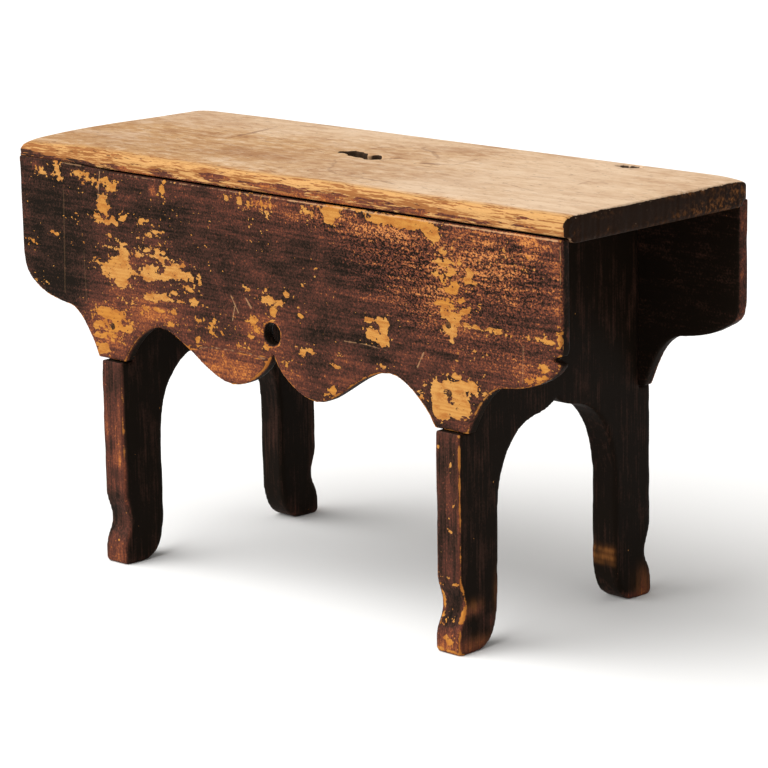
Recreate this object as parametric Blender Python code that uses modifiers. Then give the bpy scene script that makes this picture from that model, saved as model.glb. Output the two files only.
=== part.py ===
"""Painted folk stool: a seat plank on two arched end boards, with a scalloped apron nailed along each side.

X runs along the seat, the front faces -Y, and the floor is at Z = 0 under the middle of the seat.
"""

import math

import bmesh
import bpy
from mathutils import Matrix, Vector

# Driving dimensions, in metres

# Seat plank
SEAT_HEIGHT = 0.320
SEAT_LENGTH = 0.562
SEAT_DEPTH = 0.196
SEAT_THICKNESS = 0.0195
SEAT_CORNER_RADIUS = 0.010
SEAT_EDGE_ROUND = 0.004
REBATE_HEIGHT = 0.005
SLOT_LENGTH = 0.050
SLOT_WIDTH = 0.013

# Aprons
APRON_LENGTH = 0.553
APRON_HEIGHT = 0.1457
APRON_THICKNESS = 0.0095
APRON_SETBACK = 0.0025
LOBE_REACH = 0.044
CUSP_RISE = 0.0305
ARCH_RISE = 0.0315
ARCH_PEAK_TO_TAB = 0.0395
TAB_WIDTH = 0.0295
TAB_OUTSET = 0.00175
WING_REACH = 0.033
WING_RISE = 0.0365
END_CORNER_RISE = 0.072
EYE_DIAMETER = 0.016
EYE_RISE = 0.0435
KERF_WIDTH = 0.0012

# End boards
STOOL_DEPTH = 0.203
END_BOARD_SPACING = 0.349
END_BOARD_THICKNESS = 0.022
LEG_WIDTH = 0.0377
LEG_ARCH_HEIGHT = 0.167
LEG_ARCH_SPRING = 0.095
OGEE_REACH = 0.024
OGEE_DROP = 0.009
HEEL_HEIGHT = 0.038
HEEL_REACH = 0.0225
TOE_OUTSET = 0.0013
TOE_HEIGHT = 0.013
TOE_ROUND = 0.003
ANKLE_DEPTH = 0.005
ANKLE_HEIGHT = 0.034
ANKLE_TOP = 0.054
TENON_HEIGHT = 0.010
TENON_WIDTH = 0.040
TENON_SPACING = 0.090

# Nails
NAIL_LENGTH = 0.038
NAIL_POINT_LENGTH = 0.006
NAIL_SHANK_DIAMETER = 0.0028
NAIL_HEAD_DIAMETER = 0.0064
NAIL_HEAD_THICKNESS = 0.0014
NAIL_FIRST_RISE = 0.026
NAIL_SPACING = 0.048

# Fits
CLEARANCE = 0.0003
SHOULDER_GAP = 0.0015

# Headings of the sawn curves, in degrees from level
CUSP_HEADING = -75
TAB_HEADING = 65
WING_HEADING = 6
PEAK_HEADING = -38
OGEE_HEADING = -8
TOE_HEADING = 96
SHIN_HEADING = 84

# Fullness of the sawn curves: length of a curve's handles as a share of its chord
SCALLOP_FULLNESS = 0.31
CORNER_FULLNESS = 0.40
LEG_ARCH_FULLNESS = 0.37
HEEL_FULLNESS = 0.42

# How finely curves are drawn
CURVE_STEPS = 9
ROUND_STEPS = 5
NAIL_SIDES = 12
EYE_SIDES = 32

# How far a cutter reaches past the face it cuts, and how near two points are the same point
OVERSHOOT = 0.004
WELD_DISTANCE = 0.00001

# Places worked out from the driving dimensions
SEAT_UNDERSIDE = SEAT_HEIGHT - SEAT_THICKNESS
REBATE_CEILING = SEAT_UNDERSIDE + REBATE_HEIGHT
APRON_TOP = REBATE_CEILING - CLEARANCE
APRON_LOW = APRON_TOP - APRON_HEIGHT
APRON_FACE = STOOL_DEPTH / 2 - APRON_SETBACK
APRON_BACK = APRON_FACE - APRON_THICKNESS
NOTCH_FACE = APRON_BACK - CLEARANCE
SHOULDER_HEIGHT = APRON_LOW - SHOULDER_GAP
END_BOARD_MIDDLE = END_BOARD_SPACING / 2

SIDES = {"front": -1, "rear": 1}
ENDS = {"left": -1, "right": 1}
NAIL_LEVELS = ("low", "middle", "high")


def clear_scene():
    """Remove every object that the file starts with."""
    for old in list(bpy.data.objects):
        bpy.data.objects.remove(old, do_unlink=True)


def new_collection(name):
    """Add an empty collection to the scene."""
    collection = bpy.data.collections.new(name)
    bpy.context.scene.collection.children.link(collection)
    return collection


def new_material(name, colour, roughness, metallic=0.0):
    """A plain Principled material in one colour."""
    material = bpy.data.materials.new(name)
    material.use_nodes = True
    shader = material.node_tree.nodes["Principled BSDF"]
    shader.inputs["Base Color"].default_value = (*colour, 1.0)
    shader.inputs["Roughness"].default_value = roughness
    shader.inputs["Metallic"].default_value = metallic
    return material


# Drawing outlines


def heading(degrees):
    """Unit vector in the drawing plane."""
    return Vector((math.cos(math.radians(degrees)), math.sin(math.radians(degrees))))


def soft_curve(start, start_heading, end, end_heading, pull):
    """Cubic curve from start to end along two headings; its handles are pull times the chord long."""
    reach = (end - start).length * pull
    leave = start + heading(start_heading) * reach
    arrive = end - heading(end_heading) * reach
    points = []
    for step in range(1, CURVE_STEPS + 1):
        t = step / CURVE_STEPS
        s = 1.0 - t
        points.append(start * s**3 + leave * (3 * s * s * t) + arrive * (3 * s * t * t) + end * t**3)
    return points


def arc(centre, radius, first, last):
    """Points round part of a circle, from one heading to another, both ends included."""
    turns = [first + (last - first) * step / ROUND_STEPS for step in range(ROUND_STEPS + 1)]
    return [centre + heading(turn) * radius for turn in turns]


def mirrored(half):
    """Whole outline from its right half, whose first point lies on the middle line."""
    left = [Vector((-point.x, point.y)) for point in reversed(half[1:])]
    return half + left


def apron_outline():
    """Apron seen from the front: X along the stool, Y up from the lower edge."""
    tab_middle = END_BOARD_MIDDLE + TAB_OUTSET
    cusp = Vector((0.0, CUSP_RISE))
    lobe = Vector((LOBE_REACH, 0.0))
    tab_inner = Vector((tab_middle - TAB_WIDTH / 2, 0.0))
    tab_outer = Vector((tab_middle + TAB_WIDTH / 2, 0.0))
    arch_peak = Vector((tab_inner.x - ARCH_PEAK_TO_TAB, ARCH_RISE))
    wing = Vector((tab_outer.x + WING_REACH, WING_RISE))
    end_corner = Vector((APRON_LENGTH / 2, END_CORNER_RISE))
    half = [cusp]
    half += soft_curve(cusp, CUSP_HEADING, lobe, 0, SCALLOP_FULLNESS)
    half += soft_curve(lobe, 0, arch_peak, 0, SCALLOP_FULLNESS)
    half += soft_curve(arch_peak, 0, tab_inner, -TAB_HEADING, SCALLOP_FULLNESS)
    half.append(tab_outer)
    half += soft_curve(tab_outer, TAB_HEADING, wing, WING_HEADING, SCALLOP_FULLNESS)
    half += soft_curve(wing, WING_HEADING, end_corner, 90, CORNER_FULLNESS)
    half.append(Vector((APRON_LENGTH / 2, APRON_HEIGHT)))
    return mirrored(half)


def end_board_outline():
    """End board seen along the stool: X across the stool, Y up from the floor."""
    edge = STOOL_DEPTH / 2
    inner = edge - LEG_WIDTH
    toe = edge + TOE_OUTSET
    peak = Vector((0.0, LEG_ARCH_HEIGHT))
    ogee = Vector((OGEE_REACH, LEG_ARCH_HEIGHT - OGEE_DROP))
    spring = Vector((inner, LEG_ARCH_SPRING))
    heel = Vector((inner, HEEL_HEIGHT))
    sole = Vector((inner + HEEL_REACH, 0.0))
    toe_top = Vector((toe, TOE_HEIGHT))
    ankle = Vector((edge - ANKLE_DEPTH, ANKLE_HEIGHT))
    shin = Vector((edge, ANKLE_TOP))
    board_top = SEAT_UNDERSIDE - CLEARANCE
    tenon_near = (TENON_SPACING - TENON_WIDTH) / 2
    tenon_far = (TENON_SPACING + TENON_WIDTH) / 2
    half = [peak]
    half += soft_curve(peak, PEAK_HEADING, ogee, OGEE_HEADING, LEG_ARCH_FULLNESS)
    half += soft_curve(ogee, OGEE_HEADING, spring, -90, LEG_ARCH_FULLNESS)
    half.append(heel)
    half += soft_curve(heel, -90, sole, 0, HEEL_FULLNESS)
    half += arc(Vector((toe - TOE_ROUND, TOE_ROUND)), TOE_ROUND, -90, 0)
    half.append(toe_top)
    half += soft_curve(toe_top, TOE_HEADING, ankle, 90, LEG_ARCH_FULLNESS)
    half += soft_curve(ankle, 90, shin, SHIN_HEADING, LEG_ARCH_FULLNESS)
    half.append(Vector((edge, SHOULDER_HEIGHT)))
    half.append(Vector((NOTCH_FACE, SHOULDER_HEIGHT)))
    half.append(Vector((NOTCH_FACE, board_top)))
    half.append(Vector((tenon_far, board_top)))
    half.append(Vector((tenon_far, board_top + TENON_HEIGHT)))
    half.append(Vector((tenon_near, board_top + TENON_HEIGHT)))
    half.append(Vector((tenon_near, board_top)))
    return mirrored(half)


def rounded_rectangle(length, depth, radius):
    """Rectangle about the origin with round corners."""
    outline = []
    for turn, (along, across) in enumerate(((1, 1), (-1, 1), (-1, -1), (1, -1))):
        centre = Vector((along * (length / 2 - radius), across * (depth / 2 - radius)))
        outline += arc(centre, radius, 90 * turn, 90 * (turn + 1))
    return outline


# Making solids


def add_object(name, mesh, collection):
    """Put a mesh into the scene as an object of its own."""
    solid = bpy.data.objects.new(name, mesh)
    collection.objects.link(solid)
    return solid


def board_from_outline(name, outline, thickness, placement, collection):
    """Board of even thickness: the outline is drawn on the local XY plane and thickened both ways."""
    curve = bpy.data.curves.new(name + "_outline", "CURVE")
    curve.dimensions = "2D"
    curve.fill_mode = "BOTH"
    curve.extrude = thickness / 2
    spline = curve.splines.new("POLY")
    spline.points.add(len(outline) - 1)
    for point, place in zip(spline.points, outline):
        point.co = (place.x, place.y, 0.0, 1.0)
    spline.use_cyclic_u = True
    drawn = bpy.data.objects.new(name + "_drawn", curve)
    collection.objects.link(drawn)
    drawn.matrix_world = placement
    bpy.context.view_layer.update()
    mesh = bpy.data.meshes.new_from_object(drawn.evaluated_get(bpy.context.evaluated_depsgraph_get()))
    mesh.name = name
    welded = bmesh.new()
    welded.from_mesh(mesh)
    bmesh.ops.remove_doubles(welded, verts=welded.verts, dist=WELD_DISTANCE)
    bmesh.ops.recalc_face_normals(welded, faces=welded.faces)
    welded.to_mesh(mesh)
    welded.free()
    board = add_object(name, mesh, collection)
    board.matrix_world = drawn.matrix_world
    bpy.data.objects.remove(drawn, do_unlink=True)
    bpy.data.curves.remove(curve)
    return board


def box_cutter(name, low, high):
    """Block between two corners, for cutting with."""
    mesh = bpy.data.meshes.new(name)
    block = bmesh.new()
    bmesh.ops.create_cube(block, size=1.0)
    middle = (Vector(low) + Vector(high)) / 2
    size = Vector(high) - Vector(low)
    bmesh.ops.transform(block, matrix=Matrix.LocRotScale(middle, None, size), verts=block.verts)
    block.to_mesh(mesh)
    block.free()
    return as_cutter(add_object(name, mesh, CUTTERS))


def as_cutter(solid):
    """Hide a solid that only cuts others."""
    solid.hide_render = True
    solid.display_type = "WIRE"
    return solid


def cut(board, cutter):
    """Take one solid out of another."""
    modifier = board.modifiers.new("cut_" + cutter.name, "BOOLEAN")
    modifier.operation = "DIFFERENCE"
    modifier.solver = "EXACT"
    modifier.object = cutter


def round_upper_edges(board, width):
    """Ease the arrises round a flat board's upper face."""
    upper = max(corner.co.z for corner in board.data.vertices)
    weights = board.data.attributes.new("bevel_weight_edge", "FLOAT", "EDGE")
    for edge in board.data.edges:
        ends = [board.data.vertices[index].co.z for index in edge.vertices]
        rim = all(abs(height - upper) < CLEARANCE for height in ends)
        weights.data[edge.index].value = 1.0 if rim else 0.0
    bevel = board.modifiers.new("worn_edge", "BEVEL")
    bevel.limit_method = "WEIGHT"
    bevel.width = width
    bevel.segments = ROUND_STEPS


# Boards


def make_seat():
    """Seat plank with its finger slot, the rebates over the aprons and the mortises for the end boards."""
    middle = Matrix.Translation((0.0, 0.0, SEAT_HEIGHT - SEAT_THICKNESS / 2))
    outline = rounded_rectangle(SEAT_LENGTH, SEAT_DEPTH, SEAT_CORNER_RADIUS)
    seat = board_from_outline("seat_board", outline, SEAT_THICKNESS, middle, PARTS)
    dissolve_flat_faces(seat)
    round_upper_edges(seat, SEAT_EDGE_ROUND)
    slot_outline = rounded_rectangle(SLOT_LENGTH, SLOT_WIDTH, SLOT_WIDTH / 2 - CLEARANCE)
    slot_depth = SEAT_THICKNESS + 2 * OVERSHOOT
    cut(seat, as_cutter(board_from_outline("finger_slot", slot_outline, slot_depth, middle, CUTTERS)))
    for side, way in SIDES.items():
        reach = SEAT_LENGTH / 2 + OVERSHOOT
        near = way * NOTCH_FACE
        far = way * (SEAT_DEPTH / 2 + OVERSHOOT)
        low = (-reach, min(near, far), SEAT_UNDERSIDE - OVERSHOOT)
        high = (reach, max(near, far), REBATE_CEILING)
        cut(seat, box_cutter(f"{side}_rebate", low, high))
    half_thick = END_BOARD_THICKNESS / 2 + CLEARANCE
    half_wide = TENON_WIDTH / 2 + CLEARANCE
    for end, along in ENDS.items():
        for side, across in SIDES.items():
            place = Vector((along * END_BOARD_MIDDLE, across * TENON_SPACING / 2, SEAT_UNDERSIDE))
            low = place - Vector((half_thick, half_wide, OVERSHOOT))
            high = place + Vector((half_thick, half_wide, TENON_HEIGHT))
            cut(seat, box_cutter(f"{end}_{side}_mortise", low, high))
    seat.data.materials.append(SCRUBBED_PINE)
    return seat


def dissolve_flat_faces(board):
    """Merge the triangles of flat faces, so that only true edges are left to ease."""
    flat = bmesh.new()
    flat.from_mesh(board.data)
    bmesh.ops.dissolve_limit(flat, angle_limit=math.radians(1.0), verts=flat.verts, edges=flat.edges)
    flat.to_mesh(board.data)
    flat.free()


def make_apron(side):
    """Scalloped apron with its round eye and the saw cut from the eye down to the cusp."""
    way = SIDES[side]
    depth = way * (APRON_FACE - APRON_THICKNESS / 2)
    placement = Matrix.Translation((0.0, depth, APRON_LOW)) @ Matrix.Rotation(math.pi / 2, 4, "X")
    apron = board_from_outline(f"{side}_apron", apron_outline(), APRON_THICKNESS, placement, PARTS)
    eye_height = APRON_LOW + EYE_RISE
    eye_mesh = bpy.data.meshes.new(f"{side}_eye")
    drill = bmesh.new()
    bmesh.ops.create_cone(
        drill, cap_ends=True, segments=EYE_SIDES, depth=APRON_THICKNESS + 2 * OVERSHOOT,
        radius1=EYE_DIAMETER / 2, radius2=EYE_DIAMETER / 2,
        matrix=Matrix.Translation((0.0, depth, eye_height)) @ Matrix.Rotation(math.pi / 2, 4, "X"))
    drill.to_mesh(eye_mesh)
    drill.free()
    cut(apron, as_cutter(add_object(f"{side}_eye", eye_mesh, CUTTERS)))
    half_through = APRON_THICKNESS / 2 + OVERSHOOT
    low = (-KERF_WIDTH / 2, depth - half_through, APRON_LOW)
    high = (KERF_WIDTH / 2, depth + half_through, eye_height)
    cut(apron, box_cutter(f"{side}_kerf", low, high))
    cut(apron, NAIL_BORES)
    apron.data.materials.append(DARK_PAINT)
    return apron


def make_end_board(end):
    """End board with its pair of legs, stub tenons and nail bores."""
    placement = Matrix.Translation((ENDS[end] * END_BOARD_MIDDLE, 0.0, 0.0))
    placement @= Matrix.Rotation(math.pi / 2, 4, "Z") @ Matrix.Rotation(math.pi / 2, 4, "X")
    board = board_from_outline(f"{end}_end_board", end_board_outline(), END_BOARD_THICKNESS, placement, PARTS)
    cut(board, NAIL_BORES)
    board.data.materials.append(BROWN_PAINT)
    return board


# Nails


def nail_profile(slack, head_room):
    """Half section of a nail along -Z from its head; slack widens it, head_room lifts the head's top."""
    head = NAIL_HEAD_DIAMETER / 2 + slack
    shank = NAIL_SHANK_DIAMETER / 2 + slack
    under_head = -(NAIL_HEAD_THICKNESS + slack)
    return [
        (0.0, head_room),
        (head, head_room),
        (head, under_head),
        (shank, under_head),
        (shank, -(NAIL_LENGTH - NAIL_POINT_LENGTH)),
        (0.0, -(NAIL_LENGTH + slack)),
    ]


def turned_mesh(name, profile):
    """Solid of revolution about Z from a half section that starts and ends on the axis."""
    section = bpy.data.meshes.new(name + "_section")
    places = [(radius, 0.0, height) for radius, height in profile]
    section.from_pydata(places, [(n, n + 1) for n in range(len(places) - 1)], [])
    lathe = bpy.data.objects.new(name + "_lathe", section)
    CUTTERS.objects.link(lathe)
    screw = lathe.modifiers.new("turn", "SCREW")
    screw.axis = "Z"
    screw.steps = NAIL_SIDES
    screw.render_steps = NAIL_SIDES
    screw.use_merge_vertices = True
    screw.merge_threshold = WELD_DISTANCE
    bpy.context.view_layer.update()
    turned = bpy.data.meshes.new_from_object(lathe.evaluated_get(bpy.context.evaluated_depsgraph_get()))
    turned.name = name
    closed = bmesh.new()
    closed.from_mesh(turned)
    bmesh.ops.recalc_face_normals(closed, faces=closed.faces)
    closed.to_mesh(turned)
    closed.free()
    bpy.data.objects.remove(lathe, do_unlink=True)
    bpy.data.meshes.remove(section)
    return turned


def nail_places():
    """Name and placement of every nail: head flush with the apron's face, point into the end board."""
    places = {}
    for side, across in SIDES.items():
        for end, along in ENDS.items():
            for level, word in enumerate(NAIL_LEVELS):
                rise = APRON_LOW + NAIL_FIRST_RISE + level * NAIL_SPACING
                spot = Matrix.Translation((along * END_BOARD_MIDDLE, across * APRON_FACE, rise))
                turn = Matrix.Rotation(-across * math.pi / 2, 4, "X")
                places[f"nail_{side}_{end}_{word}"] = spot @ turn
    return places


def make_nail_bores(places):
    """One cutter that holds the bore of every nail."""
    bore = turned_mesh("nail_bore", nail_profile(CLEARANCE, OVERSHOOT))
    joined = bmesh.new()
    for placement in places.values():
        first = len(joined.verts)
        joined.from_mesh(bore)
        joined.verts.ensure_lookup_table()
        bmesh.ops.transform(joined, matrix=placement, verts=joined.verts[first:])
    mesh = bpy.data.meshes.new("nail_bores")
    joined.to_mesh(mesh)
    joined.free()
    bpy.data.meshes.remove(bore)
    return as_cutter(add_object("nail_bores", mesh, CUTTERS))


def make_nails(places):
    """Iron nails, all alike."""
    mesh = turned_mesh("nail", nail_profile(0.0, 0.0))
    mesh.materials.append(IRON)
    mesh.shade_smooth()
    mesh.set_sharp_from_angle(angle=math.radians(30))
    nails = []
    for name, placement in places.items():
        nail = add_object(name, mesh, PARTS)
        nail.matrix_world = placement
        nails.append(nail)
    return nails


# Build the stool

clear_scene()
PARTS = new_collection("folk_stool")
CUTTERS = new_collection("folk_stool_cutters")
SCRUBBED_PINE = new_material("scrubbed_pine", (0.66, 0.46, 0.27), 0.62)
DARK_PAINT = new_material("dark_paint", (0.050, 0.020, 0.013), 0.42)
BROWN_PAINT = new_material("brown_paint", (0.040, 0.018, 0.012), 0.45)
IRON = new_material("iron", (0.050, 0.042, 0.038), 0.60, metallic=0.7)

nail_spots = nail_places()
NAIL_BORES = make_nail_bores(nail_spots)
pieces = [make_seat()]
pieces += [make_apron(side) for side in SIDES]
pieces += [make_end_board(end) for end in ENDS]
pieces += make_nails(nail_spots)

stool = bpy.data.objects.new("folk_stool", None)
PARTS.objects.link(stool)
for piece in pieces:
    piece.parent = stool
print(f"folk_stool: {len(pieces)} pieces, {SEAT_LENGTH} by {STOOL_DEPTH} by {SEAT_HEIGHT} m")
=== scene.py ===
# %% [markdown]
# # The looks of a worn folk stool
#
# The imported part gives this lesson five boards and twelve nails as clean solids. The real stool is old:
# its seat is scrubbed to bare wood, its dark paint has flaked to yellow pine, and no edge is sharp. The
# lesson keeps every board where the solids are, gives each a finely meshed worn copy, and then builds the
# finishes from a few shared node groups.

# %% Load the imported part
import itertools
import math

import bmesh
import bpy
import numpy as np
from mathutils import Matrix, Vector


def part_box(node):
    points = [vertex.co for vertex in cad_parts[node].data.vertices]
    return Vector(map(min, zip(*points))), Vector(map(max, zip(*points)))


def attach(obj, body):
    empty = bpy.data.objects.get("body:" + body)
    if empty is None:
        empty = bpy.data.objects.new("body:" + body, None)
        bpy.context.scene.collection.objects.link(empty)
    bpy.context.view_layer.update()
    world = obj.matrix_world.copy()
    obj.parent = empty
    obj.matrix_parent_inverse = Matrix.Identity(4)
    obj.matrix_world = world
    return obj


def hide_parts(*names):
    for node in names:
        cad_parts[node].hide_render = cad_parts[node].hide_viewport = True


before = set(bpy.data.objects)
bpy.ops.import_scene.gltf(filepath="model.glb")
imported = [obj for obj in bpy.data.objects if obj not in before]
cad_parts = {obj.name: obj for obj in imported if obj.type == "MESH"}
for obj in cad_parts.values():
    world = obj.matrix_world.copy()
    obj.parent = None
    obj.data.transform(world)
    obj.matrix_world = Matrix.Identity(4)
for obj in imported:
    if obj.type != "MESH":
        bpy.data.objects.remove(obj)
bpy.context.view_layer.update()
scene = bpy.context.scene
MM = 0.001
print("boards and nails:", len(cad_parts))

# %% [markdown]
# ## The camera
#
# A photograph of straight boards tells where its camera stood, because the edges that run the same way
# meet in one point. Those lines gave the place and the turn below: a long lens, a little above the seat.
# Keeping the turn as three directions avoids any doubt about the order of angles.

# %% Stand the camera where the photographer stood
CAMERA_PLACE = (1.66115, -1.68055, 0.69362)
CAMERA_RIGHT = (0.71711, 0.69674, -0.01731)
CAMERA_UP = (-0.14453, 0.17295, 0.97427)
CAMERA_BACK = (0.68181, -0.69616, 0.22473)
CAMERA_LENS = 152.47
CAMERA_SENSOR = 36.0

lens = bpy.data.cameras.new("studio camera")
lens.lens = CAMERA_LENS
lens.sensor_width = CAMERA_SENSOR
camera = bpy.data.objects.new("studio camera", lens)
turn = Matrix((CAMERA_RIGHT, CAMERA_UP, CAMERA_BACK)).transposed().to_4x4()
camera.matrix_world = Matrix.Translation(CAMERA_PLACE) @ turn
scene.collection.objects.link(camera)
scene.camera = camera
print("camera distance:", round(camera.location.length, 2), "m")

# %% [markdown]
# ## Floor and light
#
# The photograph has a white ground and one broad soft light from the upper left. A sun lamp with a wide
# angle does the same work as a large softbox far away, and it lights the whole floor evenly, which an
# area lamp would not. A weak pale sky fills the shadows.

# %% Lay a pale floor and hang the light
FLOOR_SIZE = 30.0
FLOOR_COLOUR = (0.86, 0.855, 0.845, 1.0)
FLOOR_ROUGHNESS = 0.9
KEY_FROM = (-0.36, -0.58, 0.73)
KEY_STRENGTH = 4.3
KEY_ANGLE = 76
SKY_COLOUR = (1.0, 0.985, 0.96, 1.0)
SKY_STRENGTH = 0.46

bpy.ops.mesh.primitive_grid_add(x_subdivisions=2, y_subdivisions=2, size=FLOOR_SIZE)
floor = bpy.context.object
floor.name = "studio_floor"
pale = bpy.data.materials.new("pale studio floor")
pale.use_nodes = True
pale_shader = pale.node_tree.nodes["Principled BSDF"]
pale_shader.inputs["Base Color"].default_value = FLOOR_COLOUR
pale_shader.inputs["Roughness"].default_value = FLOOR_ROUGHNESS
floor.data.materials.append(pale)

key = bpy.data.lights.new("soft key", "SUN")
key.energy = KEY_STRENGTH
key.angle = math.radians(KEY_ANGLE)
key_lamp = bpy.data.objects.new("soft key", key)
key_lamp.rotation_euler = Vector(KEY_FROM).to_track_quat("Z", "Y").to_euler()
scene.collection.objects.link(key_lamp)

sky = bpy.data.worlds.new("pale studio")
sky.use_nodes = True
sky_light = sky.node_tree.nodes["Background"]
sky_light.inputs["Color"].default_value = SKY_COLOUR
sky_light.inputs["Strength"].default_value = SKY_STRENGTH
scene.world = sky
scene.view_settings.view_transform = "Standard"
print("key light from", KEY_FROM)

# %% [markdown]
# ## Boards with small even faces
#
# Wear is a matter of small moves: a corner rubbed round, a torn slot, grain that stands up where the soft
# wood has gone. A board of a few large faces has no points to move, so each one is copied and skinned
# again by the Remesh modifier in voxel mode. The nail bores are plugged first, since a nail fills them.

# %% Make a fine copy of a board
PLUG_SIDES = 12


def plug_bores(mesh, plugs):
    """Close round bores that run along Y, each given as x, z, its two ends and its radius."""
    form = bmesh.new()
    form.from_mesh(mesh)
    for x, z, start, end, radius in plugs:
        place = Matrix.Translation((x, (start + end) / 2, z)) @ Matrix.Rotation(math.pi / 2, 4, "X")
        bmesh.ops.create_cone(form, cap_ends=True, segments=PLUG_SIDES, radius1=radius,
                              radius2=radius, depth=abs(end - start), matrix=place)
    form.to_mesh(mesh)
    form.free()


def fine_copy(node_name, piece_name, face_size, plugs):
    """A new object in the shape of a board, with even faces of about the given size."""
    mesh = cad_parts[node_name].data.copy()
    plug_bores(mesh, plugs)
    piece = bpy.data.objects.new(piece_name, mesh)
    scene.collection.objects.link(piece)
    skin = piece.modifiers.new("small even faces", "REMESH")
    skin.mode = "VOXEL"
    skin.voxel_size = face_size
    graph = bpy.context.evaluated_depsgraph_get()
    fine = bpy.data.meshes.new_from_object(piece.evaluated_get(graph))
    piece.modifiers.clear()
    piece.data = fine
    fine.materials.clear()
    return piece


def read_points(mesh):
    points = np.empty(len(mesh.vertices) * 3)
    mesh.vertices.foreach_get("co", points)
    return points.reshape(-1, 3)


def read_normals(mesh):
    normals = np.empty(len(mesh.vertices) * 3, np.float32)
    mesh.vertex_normals.foreach_get("vector", normals)
    return normals.reshape(-1, 3).astype(float)


def read_edges(mesh):
    edges = np.empty(len(mesh.edges) * 2, np.int32)
    mesh.edges.foreach_get("vertices", edges)
    return edges.reshape(-1, 2)


def write_points(mesh, points):
    mesh.vertices.foreach_set("co", points.ravel())
    mesh.update()


def survey(mesh):
    """The points and normals of a mesh, and the points' x, y and z in millimetres."""
    points = read_points(mesh)
    return points, read_normals(mesh), points.T / MM


boards = [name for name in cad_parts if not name.startswith("nail_")]
print("boards that get a fine copy:", len(boards))

# %% [markdown]
# ## Three hand tools
#
# Sculpting by hand would need a person at the screen each time, so the strokes are written down instead.
# One tool makes smooth random lumps, one rubs corners round by drawing each point towards its neighbours,
# and one steps gently from 0 to 1. The last number in every call for lumps is a fixed seed, so each run
# gives the same stool.

# %% Lumps, rubbing and gentle steps
LATTICE_CELLS = 32


def ease(part):
    """Bend an even climb from 0 to 1, so that it starts and ends gently."""
    return part * part * (3.0 - 2.0 * part)


def lumps(points, size, seed):
    """Smooth noise from -1 to 1, with lumps of about the given size (one number, or one for each axis)."""
    lattice = np.random.default_rng(seed).uniform(-1.0, 1.0, (LATTICE_CELLS,) * 3)
    place = points / np.asarray(size)
    cell = np.floor(place).astype(int)
    part = ease(place - cell)
    total = np.zeros(len(points))
    for corner in itertools.product((0, 1), repeat=3):
        weight = np.prod(np.where(corner, part, 1.0 - part), axis=1)
        i, j, k = ((cell + corner) % LATTICE_CELLS).T
        total += weight * lattice[i, j, k]
    return total


def neighbour_means(values, edges):
    """The mean of each point's neighbours, for a column of values or for places."""
    columns = values.reshape(len(values), -1)
    total = np.zeros_like(columns)
    count = np.zeros(len(values))
    for here, there in ((0, 1), (1, 0)):
        for axis in range(columns.shape[1]):
            shares = columns[edges[:, there], axis]
            total[:, axis] += np.bincount(edges[:, here], shares, len(values))
        count += np.bincount(edges[:, here], minlength=len(values))
    return (total / count[:, None]).reshape(values.shape)


def rub_round(points, edges, turns):
    """Draw every point halfway to its neighbours, which leaves flats alone and rounds the corners."""
    for _ in range(turns):
        points = 0.5 * points + 0.5 * neighbour_means(points, edges)
    return points


def step(values, low, high):
    """0 below low and 1 above high with a soft climb between (low may be the larger)."""
    return ease(np.clip((values - low) / (high - low), 0.0, 1.0))


print("lattice of", LATTICE_CELLS, "cells each way")

# %% [markdown]
# ## Marks and masks
#
# Where the paint has gone is a record of hands and knocks, so noise alone would put it in the wrong
# places. The marks are given as ovals in millimetres on the face of a board. They are stored on the points
# as masks, and the materials later give them ragged edges that are finer than any face.

# %% Turn oval marks into masks
FAR_OUTSIDE = -15.0


def flaked_depth(across, up, marks):
    """Millimetres inside the nearest oval (x, z, half width, half height, tilt); negative outside."""
    depth = np.full(len(across), FAR_OUTSIDE)
    for x, z, wide, high, *tilt in marks:
        turn = math.radians(tilt[0]) if tilt else 0.0
        along = (across - x) * math.cos(turn) + (up - z) * math.sin(turn)
        over = (up - z) * math.cos(turn) - (across - x) * math.sin(turn)
        inside = (1.0 - np.hypot(along / wide, over / high)) * min(wide, high)
        depth = np.maximum(depth, inside)
    return depth


def spot(across, up, x, z, wide, high):
    """A soft oval spot, 1 at its middle and fading to nothing."""
    return np.exp(-((across - x) / wide) ** 2 - ((up - z) / high) ** 2)


def band(values, middle, half):
    """1 around a middle value, falling to 0 a little past the half width on either side."""
    return np.exp(-((values - middle) / half) ** 4)


def soft_clouds(across, up, marks):
    """Soft spots (x, z, half width, half height, strength) laid over each other; 0 where there is none."""
    clear = np.ones(len(across))
    for *oval, strength in marks:
        clear *= 1.0 - strength * spot(across, up, *oval)
    return 1.0 - clear


def keep_mask(piece, name, values):
    layer = piece.data.attributes.new(name, "FLOAT", "POINT")
    layer.data.foreach_set("value", values.astype(np.float32))


def proud_corners(mesh, points, edges, full):
    """How far each point stands out from its neighbours, from 0 on a flat to 1 on a corner."""
    out = np.sum((points - neighbour_means(points, edges)) * read_normals(mesh), axis=1)
    out = np.clip(out / full, 0.0, 1.0)
    return 0.5 * out + 0.5 * neighbour_means(out, edges)


print("marks are in millimetres")

# %% [markdown]
# ## The seat plank
#
# The seat was once painted like the rest. Long sitting and scrubbing took the paint off the top, rounded
# the front edge and wore its soft grain into grooves. The finger slot is torn rather than clean, and a
# knot near the rear edge has fallen out. All of that is done by moving points: first the outline of the
# corners, then the broad wear, then the fine grooves, for which the faces along the edges are split once
# more.

# %% Skin the seat and split the faces along its edges
SEAT_FACE = 1.9 * MM
FRONT_BAND = 9 * MM
REBATE_BAND = 4 * MM
END_BAND = 5 * MM
SLOT_BAND = (36 * MM, 13 * MM)
seat_low, seat_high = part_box("seat_board")
seat = fine_copy("seat_board", "scrubbed_seat", SEAT_FACE, ())


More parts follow.
